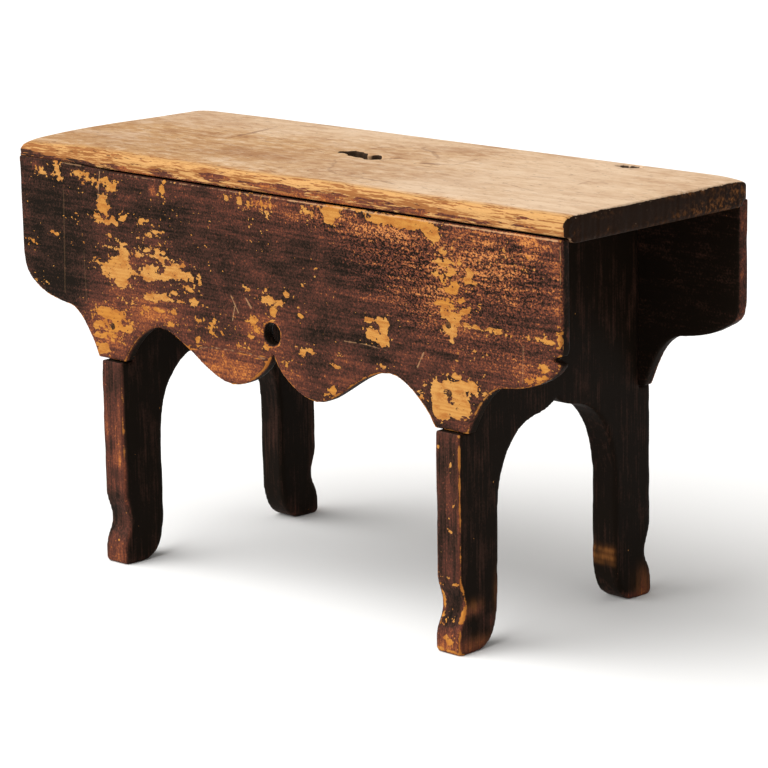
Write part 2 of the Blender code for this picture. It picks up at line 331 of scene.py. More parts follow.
def split_faces(mesh, wanted):
    """Cut each face whose middle passes the test into four."""
    form = bmesh.new()
    form.from_mesh(mesh)
    edges = {edge for face in form.faces if wanted(face.calc_center_median()) for edge in face.edges}
    bmesh.ops.subdivide_edges(form, edges=list(edges), cuts=1, use_grid_fill=True)
    form.to_mesh(mesh)
    form.free()


def near_worn_edge(middle):
    front = middle.y < seat_low.y + FRONT_BAND and middle.z > seat_low.z + REBATE_BAND
    end = abs(middle.x) > seat_high.x - END_BAND
    slot = abs(middle.x) < SLOT_BAND[0] and abs(middle.y) < SLOT_BAND[1]
    return front or end or slot


split_faces(seat.data, near_worn_edge)
print("seat faces:", len(seat.data.polygons))

# %% [markdown]
# No two corners of the old plank are alike, but the solid's corners all have one radius. A Bevel modifier
# can't change a corner that is round already, so each point of it is drawn in or out along a ray from a
# point inside, as far as the rim of the new radius lies from the rim of the old one.

# %% Give a corner a new radius
def rim_reach(across, over, reach, radius):
    """How far a ray from the inner point of a corner runs to the rim of a corner of that radius."""
    middle = reach - radius
    lean = middle * (across + over)
    on_arc = lean + np.sqrt(np.maximum(lean * lean - 2 * middle * middle + radius * radius, 0.0))
    on_flat = reach / np.maximum(np.maximum(across, over), 1e-6)
    return np.where(on_arc * np.minimum(across, over) > middle, on_arc, on_flat)


def reshape_corner(points, first, second, reach, old_radius, new_radius):
    """Give a corner between two faces a new radius; a face is an axis, a side and how far out it lies."""
    across = first[1] * points[:, first[0]] - (first[2] - reach)
    over = second[1] * points[:, second[0]] - (second[2] - reach)
    length = np.hypot(across, over)
    inside = (across > 0) & (over > 0)
    ray_across = across[inside] / length[inside]
    ray_over = over[inside] / length[inside]
    old = rim_reach(ray_across, ray_over, reach, old_radius)
    new = rim_reach(ray_across, ray_over, reach, new_radius)
    grow = (new / old - 1.0) * np.minimum(length[inside] / old, 1.0) ** 3
    moved = points.copy()
    moved[inside, first[0]] += first[1] * across[inside] * grow
    moved[inside, second[0]] += second[1] * over[inside] * grow
    return moved


print("seat reaches from", tuple(seat_low), "to", tuple(seat_high))

# %% [markdown]
# A corner is given by its sides, -1 or 1 along an axis, and its radius in millimetres. The front edge is
# sharpest near its right end. The top is then worn down by soft ovals at two corners, by a long dip along
# the front edge and by broad lumps.

# %% Wear the seat's outline, top and edges
CAD_CORNER = 10 * MM
CAD_EDGE = 4 * MM
CORNER_REACH = 32 * MM
EDGE_REACH = 12 * MM
SEAT_CORNERS = ((-1, 1, 20), (-1, -1, 6), (1, -1, 3.5), (1, 1, 9))
END_EDGES = ((1, 1.6), (-1, 6.5))
SHARP_EDGE = 1.8 * MM
SHARP_STRETCH = (200, 245)
WORN_CORNERS = ((-281, -98, 45, 42, 2.6), (-281, -98, 9, 16, 1.2), (281, 98, 16, 16, 2.0))
points = rub_round(read_points(seat.data), read_edges(seat.data), 2)
for side_x, side_y, radius in SEAT_CORNERS:
    points = reshape_corner(points, (0, side_x, seat_high.x), (1, side_y, seat_high.y),
                            CORNER_REACH, CAD_CORNER, radius * MM)
for side_x, radius in END_EDGES:
    points = reshape_corner(points, (0, side_x, seat_high.x), (2, 1, seat_high.z),
                            EDGE_REACH, CAD_EDGE, radius * MM)
sharp = reshape_corner(points, (1, -1, seat_high.y), (2, 1, seat_high.z), EDGE_REACH, CAD_EDGE, SHARP_EDGE)
points += step(points[:, 0] / MM, *SHARP_STRETCH)[:, None] * (sharp - points)
x, y, z = points.T / MM
top = step(z, 303, 319)
dip = sum(deep * spot(x, y, *oval) for *oval, deep in WORN_CORNERS)
dip += 1.3 * step(y, -80, -98) * step(x, 262, 200) * (1.0 + 0.6 * lumps(points, 0.05, 11))
dip += 0.1 * step(y, 82, 97) - 0.45 * lumps(points, (0.09, 0.05, 0.05), 12) - 0.3
points[:, 2] -= top * dip * MM
write_points(seat.data, points)
print("deepest wear on the seat:", round(float(np.max(top * dip)), 1), "mm")

# %% [markdown]
# The grooves follow the grain, so the lumps that make them are long along the plank and tiny across it.
# The sawn ends are rough in the same way, with lumps drawn out along the saw's path.

# %% Cut grooves along the front edge and roughen the ends
NICK_DEPTH = 2.4
normals = read_normals(seat.data)
x, y, z = points.T / MM
front = step(y, -87, -95) * step(z, 306.5, 309)
groove = 0.42 * lumps(points, (0.055, 0.0032, 0.0032), 13) + 0.3 * lumps(points, (0.02, 0.0021, 0.0021), 14)
nick = np.maximum(lumps(points, (0.011, 0.02, 0.02), 15) - 0.45, 0.0) * step(z, 313, 318)
points += normals * (front * (groove - 0.15 - NICK_DEPTH * nick))[:, None] * MM

ends = step(np.abs(x), 277, 280) * step(np.abs(normals[:, 0]), 0.2, 0.7)
saw = 0.3 * lumps(points, (0.05, 0.0026, 0.03), 16) - 0.5 * np.maximum(lumps(points, 0.006, 17) - 0.4, 0.0)
points += normals * (ends * saw)[:, None] * MM
print("deepest nick in the front edge:", round(float(NICK_DEPTH * np.max(front * nick)), 2), "mm")

# %% [markdown]
# The slot and the knot are local: each point is moved by how close it is to the middle of the damage. Two
# bent lines give the torn rims of the slot, and a point between them takes its share of both.

# %% Tear the slot and open the knot
SLOT_HALF = 6.5
SLOT_SHIFT = -7.8
SLOT_NEAR_RIM = (
    (-34, 4.5), (-28, 1.5), (-21, 2.5), (-14, -2), (-3, -5.2), (2, -3.9), (9, -7.5), (15, -7.6), (19, -5),
)
SLOT_FAR_RIM = (
    (-34, 7.5), (-31, 10), (-25, 14.5), (-16, 14), (-10, 12), (-4, 6), (0, 9.5), (3, 12.5), (8, 9), (13, 3),
    (19, -2),
)
TORN_LIP = (15, 5, 9, 4)
TORN_DEPTH = 1.3
KNOT_PLACE = (181, 86)
KNOT_HALF = (9, 6)
KNOT_DEPTH = 6.0
slot_near = step(np.abs(x), 46, 27) * step(np.abs(y), 26, 7.5)
points[:, 0] += slot_near * SLOT_SHIFT * MM
x = points[:, 0] / MM
tear = 1.0 * lumps(points, (0.006, 0.05, 0.012), 18) + 0.8 * lumps(points, (0.0035, 0.05, 0.008), 19)
to_near = np.interp(x, *zip(*SLOT_NEAR_RIM)) + tear + SLOT_HALF
to_far = np.interp(x, *zip(*SLOT_FAR_RIM)) + tear - SLOT_HALF
far_share = np.clip(0.5 + 0.5 * y / SLOT_HALF, 0.0, 1.0)
points[:, 1] += slot_near * (to_near + far_share * (to_far - to_near)) * MM
x, y, z = points.T / MM
torn = spot(x, y, *TORN_LIP) * (1.0 + 0.7 * lumps(points, 0.005, 20))
points[:, 2] -= top * torn * TORN_DEPTH * MM

from_knot = np.hypot((x - KNOT_PLACE[0]) / KNOT_HALF[0], (y - KNOT_PLACE[1]) / KNOT_HALF[1])
from_knot += 0.22 * lumps(points, 0.007, 21)
points[:, 2] -= top * KNOT_DEPTH * step(from_knot, 1.1, 0.75) * MM
points = np.where(slot_near[:, None] > 0.02, rub_round(points, read_edges(seat.data), 1), points)
write_points(seat.data, points)
print("seat height now:", round(float(points[:, 2].max()), 4), "m")

# %% [markdown]
# The masks say where this worn plank still has paint (its ends and the foot of its front edge), where the
# front edge is yellow with handling, where the top is stained, and which hollows get painted shade.

# %% Place the seat's marks
PAINT_LEFT_ON_EDGE = [
    (-255, 305, 70, 4.6), (-275, 308, 16, 4.0), (-205, 306.5, 18, 2.6), (-164, 308.8, 12, 1.6),
    (-112, 309, 22, 2.2), (-57, 311.2, 15, 2.8), (-15, 310.6, 20, 1.6), (18, 311.2, 34, 2.6),
    (60, 310.4, 26, 2.5), (100, 310.2, 30, 2.6), (140, 309, 20, 1.7), (171, 308.5, 9, 0.9),
    (203, 308.2, 16, 0.9), (249, 309.8, 10, 1.0), (241, 315.5, 6, 0.7), (-120, 306, 75, 1.6),
    (60, 306, 110, 1.8),
]
STAINS_ON_TOP = [
    (-215, -55, 60, 28, 0.55), (-70, -42, 50, 20, 0.8), (-225, 55, 35, 35, 0.4),
    (-190, 45, 30, 18, 0.4), (30, -28, 42, 16, 0.4), (-48, 2.5, 12, 6, 0.5), (36, 65, 14, 6, 0.9),
    (95, -40, 45, 30, 0.25), (-45, -30, 14, 9, 0.4), (152, -50, 10, 8, 0.35), (222, 62, 10, 22, 0.25),
    (-265, 0, 15, 90, 0.3),
]
STREAKS_ON_EDGE = [
    (-230, 312, 80, 8, 1.25), (-60, 310, 60, 7, 0.7), (60, 310, 60, 5, 0.8), (130, 311, 40, 5, 0.7),
]
RUBBED_ON_END = [
    (62, 306, 34, 5, 1.0), (86, 309, 14, 9, 1.0), (20, 303, 30, 3, 0.25), (32, 318.5, 24, 1.6, 0.7),
    (-88, 308, 2, 2, 0.9), (-56, 307, 2, 1.5, 0.9), (-20, 303, 60, 2.5, 0.15), (75, 316, 22, 3, 0.35),
    (-60, 316, 20, 2, 0.2),
]
print("marks on the seat's edge and top:", len(PAINT_LEFT_ON_EDGE), "and", len(STAINS_ON_TOP))

# %% [markdown]
# A mark counts only on the side of the plank that it was drawn for, and the normals tell the sides apart.
# The ends keep their paint up to a ragged line just under the top.

# %% Store the seat's masks
normals = read_normals(seat.data)
x, y, z = points.T / MM
facing_front = step(-normals[:, 1], 0.25, 0.6)
end_turn = np.abs(normals[:, 0]) - 0.4 * (x < 0)
end_side = step(end_turn, 0.05, 0.3) * step(np.abs(x), 262, 272)

# paint that is left on the long edges and the ends
painted = np.where(facing_front > 0.5, flaked_depth(x, z, PAINT_LEFT_ON_EDGE), FAR_OUTSIDE)
painted = np.where(normals[:, 1] > 0.4, flaked_depth(-x, z, PAINT_LEFT_ON_EDGE[::2]), painted)
ragged_end = np.abs(x) - 279.6 + 0.7 * (318 - z)
ragged_end += 1.1 * lumps(points, (0.05, 0.03, 0.05), 22) + 0.5 * lumps(points, (0.05, 0.009, 0.05), 24)
painted = np.where(end_side > 0.5, np.maximum(painted, 1.6 * ragged_end), painted)
keep_mask(seat, "flake", -painted)
# the ends keep dark paint, made darker still as painted shade
keep_mask(seat, "soot_and_shade", 1.1 * end_side)
keep_mask(seat, "scuff", end_side * soft_clouds(y, z, RUBBED_ON_END))
keep_mask(seat, "rub", 0.5 * facing_front * step(x, -200, -150) * (1.0 - end_side))

# the colour of the bare wood
keep_mask(seat, "edge", np.maximum(step(y, -85, -97), 0.5 * step(y, 92, 97)))
keep_mask(seat, "streak", facing_front * (0.28 + 0.85 * soft_clouds(x, z, STREAKS_ON_EDGE)))
keep_mask(seat, "stain", soft_clouds(x, y, STAINS_ON_TOP))
paler = np.maximum(step(x, -120, 200), 0.8 * step(y, 0, 80))
keep_mask(seat, "pale", paler * (0.8 + 0.2 * lumps(points, 0.06, 23)))
keep_mask(seat, "under", step(-normals[:, 2], 0.4, 0.8))

# painted shade inside the slot and the knot, lighter where the slot's far wall shows
in_slot = step(np.abs(normals[:, 2]), 0.88, 0.6) * step(np.abs(y), 22, 18)
tongue = 1.0 - 0.75 * band(x, -4, 3.5) * step(y, -2, 2)
in_knot = step(from_knot, 1.3, 1.1) * step(z, 319.2, 317.8) * step(z, 300, 310) * step(y, 97, 95)
keep_mask(seat, "hollow", np.maximum(in_slot * tongue * step(np.abs(x), 44, 40), in_knot))
print("share of seat points with paint left:", round(float(np.mean(painted > 0)), 3))

# %% [markdown]
# ## The two aprons
#
# Each apron is one thin board, sawn along its lower edge into lobes, arches and tabs, with a bored eye
# over the middle. Every arris has been rubbed by hands and feet. The front one also has a piece broken
# from its right end and a split along the left lobe. The back of the rear one can't be seen, so it has
# the same kind of wear, with fewer marks.

# %% Skin the aprons and rub their edges
APRON_FACE = 1.2 * MM
APRON_CORNER = 0.25 * MM
NAIL_ALLOWANCE = 0.6 * MM


def nail_names(side):
    return sorted(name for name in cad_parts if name.startswith(f"nail_{side}"))


def apron_plugs(side, node_name):
    """Plugs for the bores of an apron's nails, right through the board."""
    low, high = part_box(node_name)
    plugs = []
    for name in nail_names(side):
        start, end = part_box(name)
        middle = (start + end) / 2
        plugs.append((middle.x, middle.z, low.y, high.y, (end.x - start.x) / 2 + NAIL_ALLOWANCE))
    return plugs


def worn_apron(side, piece_name, seed):
    """A fine copy of an apron with rubbed, slightly wavy edges."""
    node_name = f"{side}_apron"
    piece = fine_copy(node_name, piece_name, APRON_FACE, apron_plugs(side, node_name))
    edges = read_edges(piece.data)
    points = rub_round(read_points(piece.data), edges, 2)
    write_points(piece.data, points)
    corner = proud_corners(piece.data, points, edges, APRON_CORNER)
    wear = corner * (0.05 + 0.6 * np.maximum(lumps(points, 0.012, seed), 0.0))
    points -= read_normals(piece.data) * wear[:, None] * MM
    points[:, 1] += 0.35 * MM * lumps(points, (0.12, 0.2, 0.035), seed + 1)
    points[:, 2] += 0.3 * MM * lumps(points, (0.03, 0.2, 0.05), seed + 2) * step(points[:, 2], 0.30, 0.27)
    write_points(piece.data, points)
    return piece


front_apron = worn_apron("front", "front_apron_board", seed=30)
rear_apron = worn_apron("rear", "rear_apron_board", seed=40)
print("apron faces:", len(front_apron.data.polygons), len(rear_apron.data.polygons))

# %% [markdown]
# The aprons were sawn by eye, and the front one has had knocks. Each stroke below moves the points of one
# place. Cutting the damage with a Boolean would give it clean walls, which broken wood never has.

# %% Break the front apron's right end and split its left lobe
SPLIT_LINE = ((-88, 181.5), (-60, 184.5), (-30, 185.8), (-6, 183.5))


def line_distance(across, up, line):
    """Millimetres from each point to a bent line."""
    nearest = np.full(len(across), 1e3)
    for (x0, z0), (x1, z1) in itertools.pairwise(line):
        length = math.hypot(x1 - x0, z1 - z0)
        part = ((across - x0) * (x1 - x0) + (up - z0) * (z1 - z0)) / length ** 2
        part = np.clip(part, 0.0, 1.0)
        away = np.hypot(across - x0 - part * (x1 - x0), up - z0 - part * (z1 - z0))
        nearest = np.minimum(nearest, away)
    return nearest


# the right end, with a notch broken out and the corner below it standing proud
points = read_points(front_apron.data)
x, y, z = points.T / MM
end_share = step(x, 258, 276)
broken = band(z, 222.5, 2.2) * (6.0 + 2.0 * lumps(points, 0.004, 50))
proud_foot = 2.0 * step(z, 199, 208) * step(z, 221, 218)
points[:, 0] += end_share * (proud_foot - broken) * MM

# places where the saw left the drawn line
points[:, 0] -= 5.0 * band(x, 108, 52) * step(z, 215, 190) * MM
points[:, 0] -= 1.2 * band(x, -200, 20) * step(z, 225, 205) * MM
points[:, 0] -= 1.0 * step(x, -262, -274) * MM

# the upper edge, higher at its left end
at_top = step(z, 296, 304)
points[:, 2] += (1.2 * step(x, -192, -212) - 1.1 * step(x, -192, -166)) * at_top * MM
points[:, 1] -= 0.5 * step(x, -192, -212) * at_top * step(y, -94, -97) * MM

# the split of the left lobe
split = step(line_distance(x, z, SPLIT_LINE), 1.5, 0.2) * step(y, -96, -98)
points[:, 1] += 0.7 * split * MM
write_points(front_apron.data, points)

# the rear apron, sawn higher beyond its right tab and a little longer there
rear_points = read_points(rear_apron.data)
x, y, z = rear_points.T / MM
rear_points[:, 2] += 4.8 * step(x, 188, 205) * step(z, 225, 205) * MM
rear_points[:, 0] += 1.0 * step(x, 262, 276) * MM
write_points(rear_apron.data, rear_points)
print("broken end of the apron reaches in", round(float(np.max(broken)), 1), "mm")

# %% [markdown]
# The marks of the front apron are set from the photograph. Bare ovals overlap into the larger flaked
# patches, and a second list says where an island of paint still stands inside them.

# %% Mark where the front apron's paint has flaked
BARE_FRONT = [
    # upper left corner
    (-232, 299.5, 9, 3.0, -62), (-248, 296, 7, 2.2, -18), (-206, 299.5, 7, 2.2),
    # left joint, from the top down
    (-190, 296, 6, 1.2), (-186.5, 292, 1.2, 5), (-177, 297, 3.6, 3.4), (-172, 292, 4, 3.4),
    (-167, 294.5, 2.2, 3), (-180.5, 278, 7, 8), (-180, 267.5, 12.5, 4), (-160, 270, 6, 1.8, 18),
    (-165, 265.5, 2.5, 1.6), (-174, 256, 2, 1.4), (-165, 231, 15, 9.5), (-158.5, 241, 6.5, 8),
    (-175, 229, 10, 7), (-187, 233.5, 5, 1.2), (-163, 221, 10, 4), (-147, 230, 6, 1.8),
    (-173, 246.5, 9, 1.1), (-160, 250.5, 4, 1.2),
    # between the left joint and the middle
    (-125, 233, 15, 5.5), (-105, 236, 11, 5), (-93, 234.5, 9, 3.4), (-84, 234, 3, 2),
    (-132, 228.5, 8, 2.8), (-103, 241, 4.5, 1.6), (-93, 242, 2.5, 2), (-134, 249, 8, 1.5),
    (-122, 250, 4, 2), (-116, 249, 3, 1.0), (-141, 244.5, 4, 1.8), (-120, 245.5, 13, 0.9),
    (-115, 242.5, 3, 1), (-130, 261, 3, 1.5), (-139, 270, 3, 1.6), (-133, 271, 2.2, 1.5),
    (-121, 264.5, 4, 0.9), (-128, 213.5, 10, 3.2), (-117, 215.5, 6, 3.2), (-105, 221, 3.5, 2),
    (-84, 215.5, 5, 2.3), (-97, 214.5, 11, 0.7), (-91, 226, 3, 1.2), (-85, 225.5, 2.6, 1.6),
    (-76, 232.5, 2, 3.6),
    # left tab and the rim of the left arch
    (-178, 195.5, 17, 4.6), (-172, 187.5, 21, 6.5), (-192, 184.5, 5, 3.4), (-180, 177, 13, 2.8),
    (-186, 167, 8, 4.8), (-160, 189, 4, 2), (-137, 204, 3, 1.2), (-141, 199, 1.6, 1.6),
    (-122, 205.5, 7, 0.9), (-105, 205, 2.2, 1.8), (-109, 196, 7, 0.9),
    # over the bored eye
    (-2, 227.5, 8, 3.6), (7, 227, 5, 2.8), (2, 219, 3.2, 6), (-5.5, 234.5, 1.8, 3), (17, 235, 3, 2.4),
    (30, 221, 2.3, 2), (32, 244, 1.2, 1), (-25, 233.5, 2.3, 1.5), (47, 254, 1.8, 0.9),
    # left lobe
    (-64.5, 198.5, 2.8, 4), (-62, 204.5, 2.5, 1.8), (-78, 203, 2.2, 1.4), (-20, 210.5, 5, 3.5),
    (-16, 204, 4, 3), (-22, 199, 3, 1.5), (-79, 187.5, 3, 2.2), (-33, 189.5, 4, 0.8),
    (-5, 193.5, 5, 2.2), (2, 196, 4, 1.8),
    # right lobe
    (32, 194, 4.2, 2.8), (38, 196.5, 4.2, 2), (65, 189, 3.8, 1.4, -15), (70, 198, 3, 1.1),
    (61.5, 171, 3.2, 3), (57.5, 168.5, 3, 1.2, 25), (112, 196, 3.2, 1.1), (15, 183.5, 2, 0.8),
    # over the right arch
    (98, 227, 4, 2.6), (112, 227.5, 6.5, 2.8), (113, 222, 4, 4.5), (102, 217, 7.5, 4),
    (112, 214.5, 6.5, 4.6),
    # under the seat
    (62, 298, 9, 7.5), (64, 303, 11, 2.6), (40, 297, 5, 2.4), (84, 304.5, 12, 1), (112, 300.5, 14, 4),
    (140, 300.5, 20, 4.6), (157, 298, 9, 6), (163, 295, 4.5, 5.5), (-44, 298, 2.2, 2.3),
    (-31, 299, 2.3, 4), (-113.5, 296.5, 3, 4.8), (-112, 302, 1.4, 3), (-21.5, 296.5, 0.3, 2.6),
    (-17, 297.5, 0.4, 2.8), (-12, 298, 0.4, 3), (-7.5, 299, 0.7, 3), (-2.5, 299, 0.3, 2.5),
    (1.5, 299.5, 0.4, 2.6),
    # right joint
    (172, 276.5, 6, 2), (164, 268, 3, 2), (169, 264, 2.4, 3), (177, 258, 8, 2.6), (182, 263, 4, 3),
    (195, 272, 3.6, 3.2), (197, 266, 3, 1.2), (191, 267, 2, 2), (171, 284, 3, 2), (178, 272, 3, 2.4),
    (186, 278, 2.4, 2), (172, 247.5, 9, 3.6), (177, 241, 10, 7), (190, 244.5, 7, 2.2, 25),
    (185, 252, 5, 1.8, 15), (177, 231, 6.5, 6), (177.5, 224.5, 1.8, 3.5), (196, 235, 9, 1.1, -4),
    (220, 234.8, 9, 1.0), (249, 235, 6, 0.8),
    # right tab
    (176, 182, 17, 13), (168, 176, 10, 10), (189, 190, 13, 6), (205, 190.5, 6, 1.3), (163, 185, 5.5, 9),
    (181, 198, 4, 2.5), (196, 196, 4, 2), (187, 176, 7, 7),
    # right end
    (246, 205.2, 5, 1.4), (258, 208, 8, 1.5, 15), (262, 214.5, 5, 2.6), (268, 234, 5, 1.8),
    (275.5, 237, 1.6, 8),
    # left end
    (-240, 249.5, 3.5, 0.9), (-266, 240.5, 5.5, 1.7, -20), (-262, 211, 6, 0.8),
]
STILL_PAINTED = [
    (-119, 234, 3.2, 1.5), (105.5, 223, 2.5, 2.5, 60), (100, 212.5, 3, 1.0), (98, 215.5, 1.4, 1.1),
    (196.5, 184.5, 3, 3), (186.5, 168, 3.6, 2.6), (174, 163, 15, 1.7), (191, 188, 3.5, 0.8),
    (171.5, 236, 2.2, 2.0), (173.5, 186, 3.2, 2.4), (175, 182, 3, 1.3), (177, 179.5, 1.1, 0.9),
    (-176, 287.5, 9, 1.8), (-193, 299, 2, 4), (-178.5, 269, 4.5, 2.0), (-176, 280.5, 2.2, 2.2),
    (-178, 188, 2.6, 2.2), (167, 275, 3, 2), (175, 265, 3, 3.5), (170, 258, 2.4, 1.2),
    (185, 246, 6, 1.2, 12), (-161, 190, 5, 2), (2, 225.5, 1.4, 0.9), (-190, 190, 5, 1.5),
    (-165, 182, 4, 1.5), (-180, 184, 6, 1.2), (-170, 176, 8, 1.4),
]
print("bare marks and painted islands:", len(BARE_FRONT), "and", len(STILL_PAINTED))

# %% [markdown]
# Paint that still holds is not all alike. Four lists of soft spots, each with a strength, say where it is
# rubbed thin, sooty, finely crazed or flecked.

# %% Mark how the front apron's paint has aged
RUBBED_FRONT = [
    (-45, 172, 42, 16, 0.8), (-125, 201, 34, 9, 0.55), (-176, 180, 34, 24, 0.6),
    (-150, 222, 45, 20, 0.3), (-15, 206, 32, 14, 0.5), (35, 180, 45, 18, 0.08), (95, 192, 22, 8, 0.25),
    (60, 236, 70, 12, 0.1), (225, 282, 60, 30, 0.03), (215, 212, 50, 18, 0.15), (-5, 299, 38, 6, 0.3),
    (-11, 297, 12, 5, 0.55), (95, 292, 55, 9, 0.24), (274, 262, 4, 46, 0.3), (-124, 295, 4, 5, 0.7),
    (-85, 293, 22, 4, 0.4), (105, 242, 22, 2, 0.5), (-257, 300, 9, 4, 0.5), (-178.5, 269, 7, 4, 0.4),
    (-243, 250, 9, 5, 0.4), (180, 265, 22, 30, 0.35), (250, 210, 26, 9, 0.5), (246, 300, 8, 3.5, 0.75),
    (249, 290, 7, 4.5, 0.8), (215, 295, 12, 4, 0.75), (205, 285, 9, 3, 0.7), (262, 297, 8, 3, 0.5),
    (228, 302, 30, 3, 0.5),
]
SOOTY_FRONT = [
    (-240, 262, 46, 48, 0.8), (-235, 215, 34, 22, 0.8), (-100, 284, 70, 14, 0.35),
    (78, 211, 40, 5, 0.8), (30, 264, 60, 12, 0.4), (215, 224, 36, 5, 0.5), (210, 247, 24, 6, 0.5),
    (118, 264, 45, 16, 0.5), (-110, 262, 60, 14, 0.35), (110, 199, 14, 3, 0.6), (-40, 196, 30, 5, 0.4),
    (60, 236, 70, 16, 0.3), (-65, 238, 40, 20, 0.25),
]
CRAZED_FRONT = [
    (122, 274, 52, 28, 0.95), (225, 276, 60, 34, 0.8), (152, 250, 34, 30, 0.6),
    (225, 222, 55, 22, 0.35), (55, 294, 40, 10, 0.55), (-10, 286, 45, 14, 0.2),
]
FLECKED_FRONT = [
    (-128, 258, 22, 16, 0.75), (-201, 193, 8, 10, 0.9), (-258, 246, 18, 16, 0.5),
    (-250, 297, 30, 10, 0.6), (-125, 284, 50, 18, 0.42), (-75, 258, 40, 24, 0.38),
    (-205, 265, 40, 26, 0.4), (-215, 291, 24, 8, 0.55), (-95, 218, 24, 12, 0.5),
    (176, 272, 17, 18, 0.95), (205, 290, 30, 12, 0.7), (-150, 205, 40, 12, 0.75),
    (-30, 203, 26, 12, 0.6), (195, 214, 26, 9, 0.7), (150, 178, 8, 14, 0.85), (245, 288, 28, 14, 0.55),
    (88, 268, 16, 8, 0.4), (-65, 200, 22, 10, 0.5), (-45, 176, 30, 12, 0.5), (258, 216, 16, 10, 0.6),
]
print("rubbed and flecked spots:", len(RUBBED_FRONT), "and", len(FLECKED_FRONT))

# %% [markdown]
# A rear apron's marks need no photograph. Turned end for end, a part of the front list serves well,
# thinned so that the two sides of the stool are alike in kind but not twins.

# %% Store the aprons' masks
REAR_KEEPS_ONE_IN = 3
EYE_X, EYE_Z, EYE_RADIUS = 0, 203, 8
APRON_ARRIS = 0.3 * MM
THINNED_MARKS = (BARE_FRONT, STILL_PAINTED, RUBBED_FRONT, CRAZED_FRONT, FLECKED_FRONT)


def turned(marks):
    """The same marks on the other side of the stool."""
    return [(-mark[0], *mark[1:]) for mark in marks]


def mark_apron(piece, out, sooty, bare, painted, rubbed, crazed, flecked):
    """Store the masks; out is -1 for the front apron and 1 for the rear one."""
    points, normals, (x, y, z) = survey(piece.data)
    outer = step(out * (y - (y.min() + y.max()) / 2), 0.0, 3.5)
    depth = np.minimum(flaked_depth(x, z, bare), -flaked_depth(x, z, painted))
    from_eye = np.hypot(x - EYE_X, z - EYE_Z) - EYE_RADIUS
    worn_rim = 0.6 - 1.4 * np.abs(from_eye - 1.0) + 1.2 * lumps(points, 0.007, 54)
    depth = np.maximum(depth, worn_rim)
    in_eye = step(from_eye, 1.2, 0.2) * step(np.abs(normals[:, 1]), 0.95, 0.8)
    eye_rim = np.exp(-((from_eye - 1.3) / 1.1) ** 2) * (0.6 + 0.5 * lumps(points, 0.006, 51))
    on_end = step(np.abs(normals[:, 0]), 0.5, 0.8) * step(np.abs(x), 255, 268)
    scuffed = on_end * np.maximum(lumps(points, (0.05, 0.004, 0.012), 52), 0.3 * (out > 0))
    keep_mask(piece, "flake", np.where((outer > 0.5) & (in_eye < 0.5), depth, FAR_OUTSIDE))
    rub = outer * np.maximum(soft_clouds(x, z, rubbed), eye_rim)
    keep_mask(piece, "rub", np.maximum(rub * (1.0 - in_eye), scuffed))
    # the inner face gets dark film as painted shade under the seat, and so do the walls of the bored eye
    shaded = (1.0 - outer) * (1.0 - 0.6 * on_end * (out > 0))
    keep_mask(piece, "soot_and_shade", np.maximum.reduce((shaded, in_eye, soft_clouds(x, z, sooty))))
    keep_mask(piece, "craze", outer * soft_clouds(x, z, crazed))
    keep_mask(piece, "fleck", outer * np.maximum(soft_clouds(x, z, flecked), 0.2))
    corner = proud_corners(piece.data, points, read_edges(piece.data), APRON_ARRIS)
    handled = np.maximum(step(z, 225, 200), 0.6 * step(np.abs(x), 268, 276))
    at_end = 0.6 * step(out * np.abs(x), 255, 268)
    shows = np.maximum(outer * (1.0 - in_eye), at_end)
    keep_mask(piece, "arris", 1.9 * corner * shows * (0.15 + 0.85 * handled))
    return float(np.mean(depth > 0))


front_share = mark_apron(front_apron, -1, SOOTY_FRONT, *THINNED_MARKS)
thinned = [turned(marks[::REAR_KEEPS_ONE_IN]) for marks in THINNED_MARKS]
rear_share = mark_apron(rear_apron, 1, turned(SOOTY_FRONT), *thinned)
print("bare share of front and rear apron:", round(front_share, 3), round(rear_share, 3))

# %% [markdown]
# ## The two end boards
#
# Each end board is a thick plank with an ogee arch that leaves two legs, and each leg has a small ankle
# and foot cut on its outer edge. Feet scuff, ankles get kicked, and the arris that faces the room loses
# its paint in a broken line. The same tools do it, with the grain now running upright.

# %% Skin the end boards and wear their feet
END_FACE = 1.35 * MM
END_CORNER = 0.28 * MM
NOTCH_FACE = 89.2 * MM
BORE_END = 58 * MM
BORE_PLUG = 2.7 * MM


def edge_plugs(side):
    """Plugs for the bores in the two edges of an end board."""
    plugs = []
    for name in nail_names("front") + nail_names("rear"):
        if f"_{side}_" in name:
            start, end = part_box(name)
            out = -1 if "front" in name else 1
            plugs.append(((start.x + end.x) / 2, (start.z + end.z) / 2,
                          out * NOTCH_FACE, out * BORE_END, BORE_PLUG))
    return plugs


def worn_end_board(side, piece_name, seed):
    """A fine copy of an end board with rubbed corners and scuffed feet."""
    piece = fine_copy(f"{side}_end_board", piece_name, END_FACE, edge_plugs(side))
    edges = read_edges(piece.data)
    points = rub_round(read_points(piece.data), edges, 1)
    write_points(piece.data, points)
    corner = proud_corners(piece.data, points, edges, END_CORNER)
    foot = step(points[:, 2], 0.06, 0.01)
    wear = corner * (0.7 * np.maximum(lumps(points, 0.011, seed), 0.0) + 0.4 * foot) - 0.55
    wear -= 0.3 * step(points[:, 2], 0.16, 0.14)
    points -= read_normals(piece.data) * wear[:, None] * MM
    points[:, 0] += 0.4 * MM * lumps(points, (0.2, 0.05, 0.12), seed + 1)
    points[:, 1] += 0.45 * MM * lumps(points, (0.05, 0.2, 0.03), seed + 2) * step(points[:, 2], 0.165, 0.15)
    _, y, z = points.T / MM
    points[:, 1] += np.sign(y) * 0.4 * step(z, 26.0, 23.5) * step(np.abs(y), 70, 85) * MM
    points[:, 2] = np.maximum(points[:, 2], 0.0)
    write_points(piece.data, points)
    return piece


left_end = worn_end_board("left", "left_end_plank", seed=60)
right_end = worn_end_board("right", "right_end_plank", seed=70)
print("end board faces:", len(left_end.data.polygons), len(right_end.data.polygons))

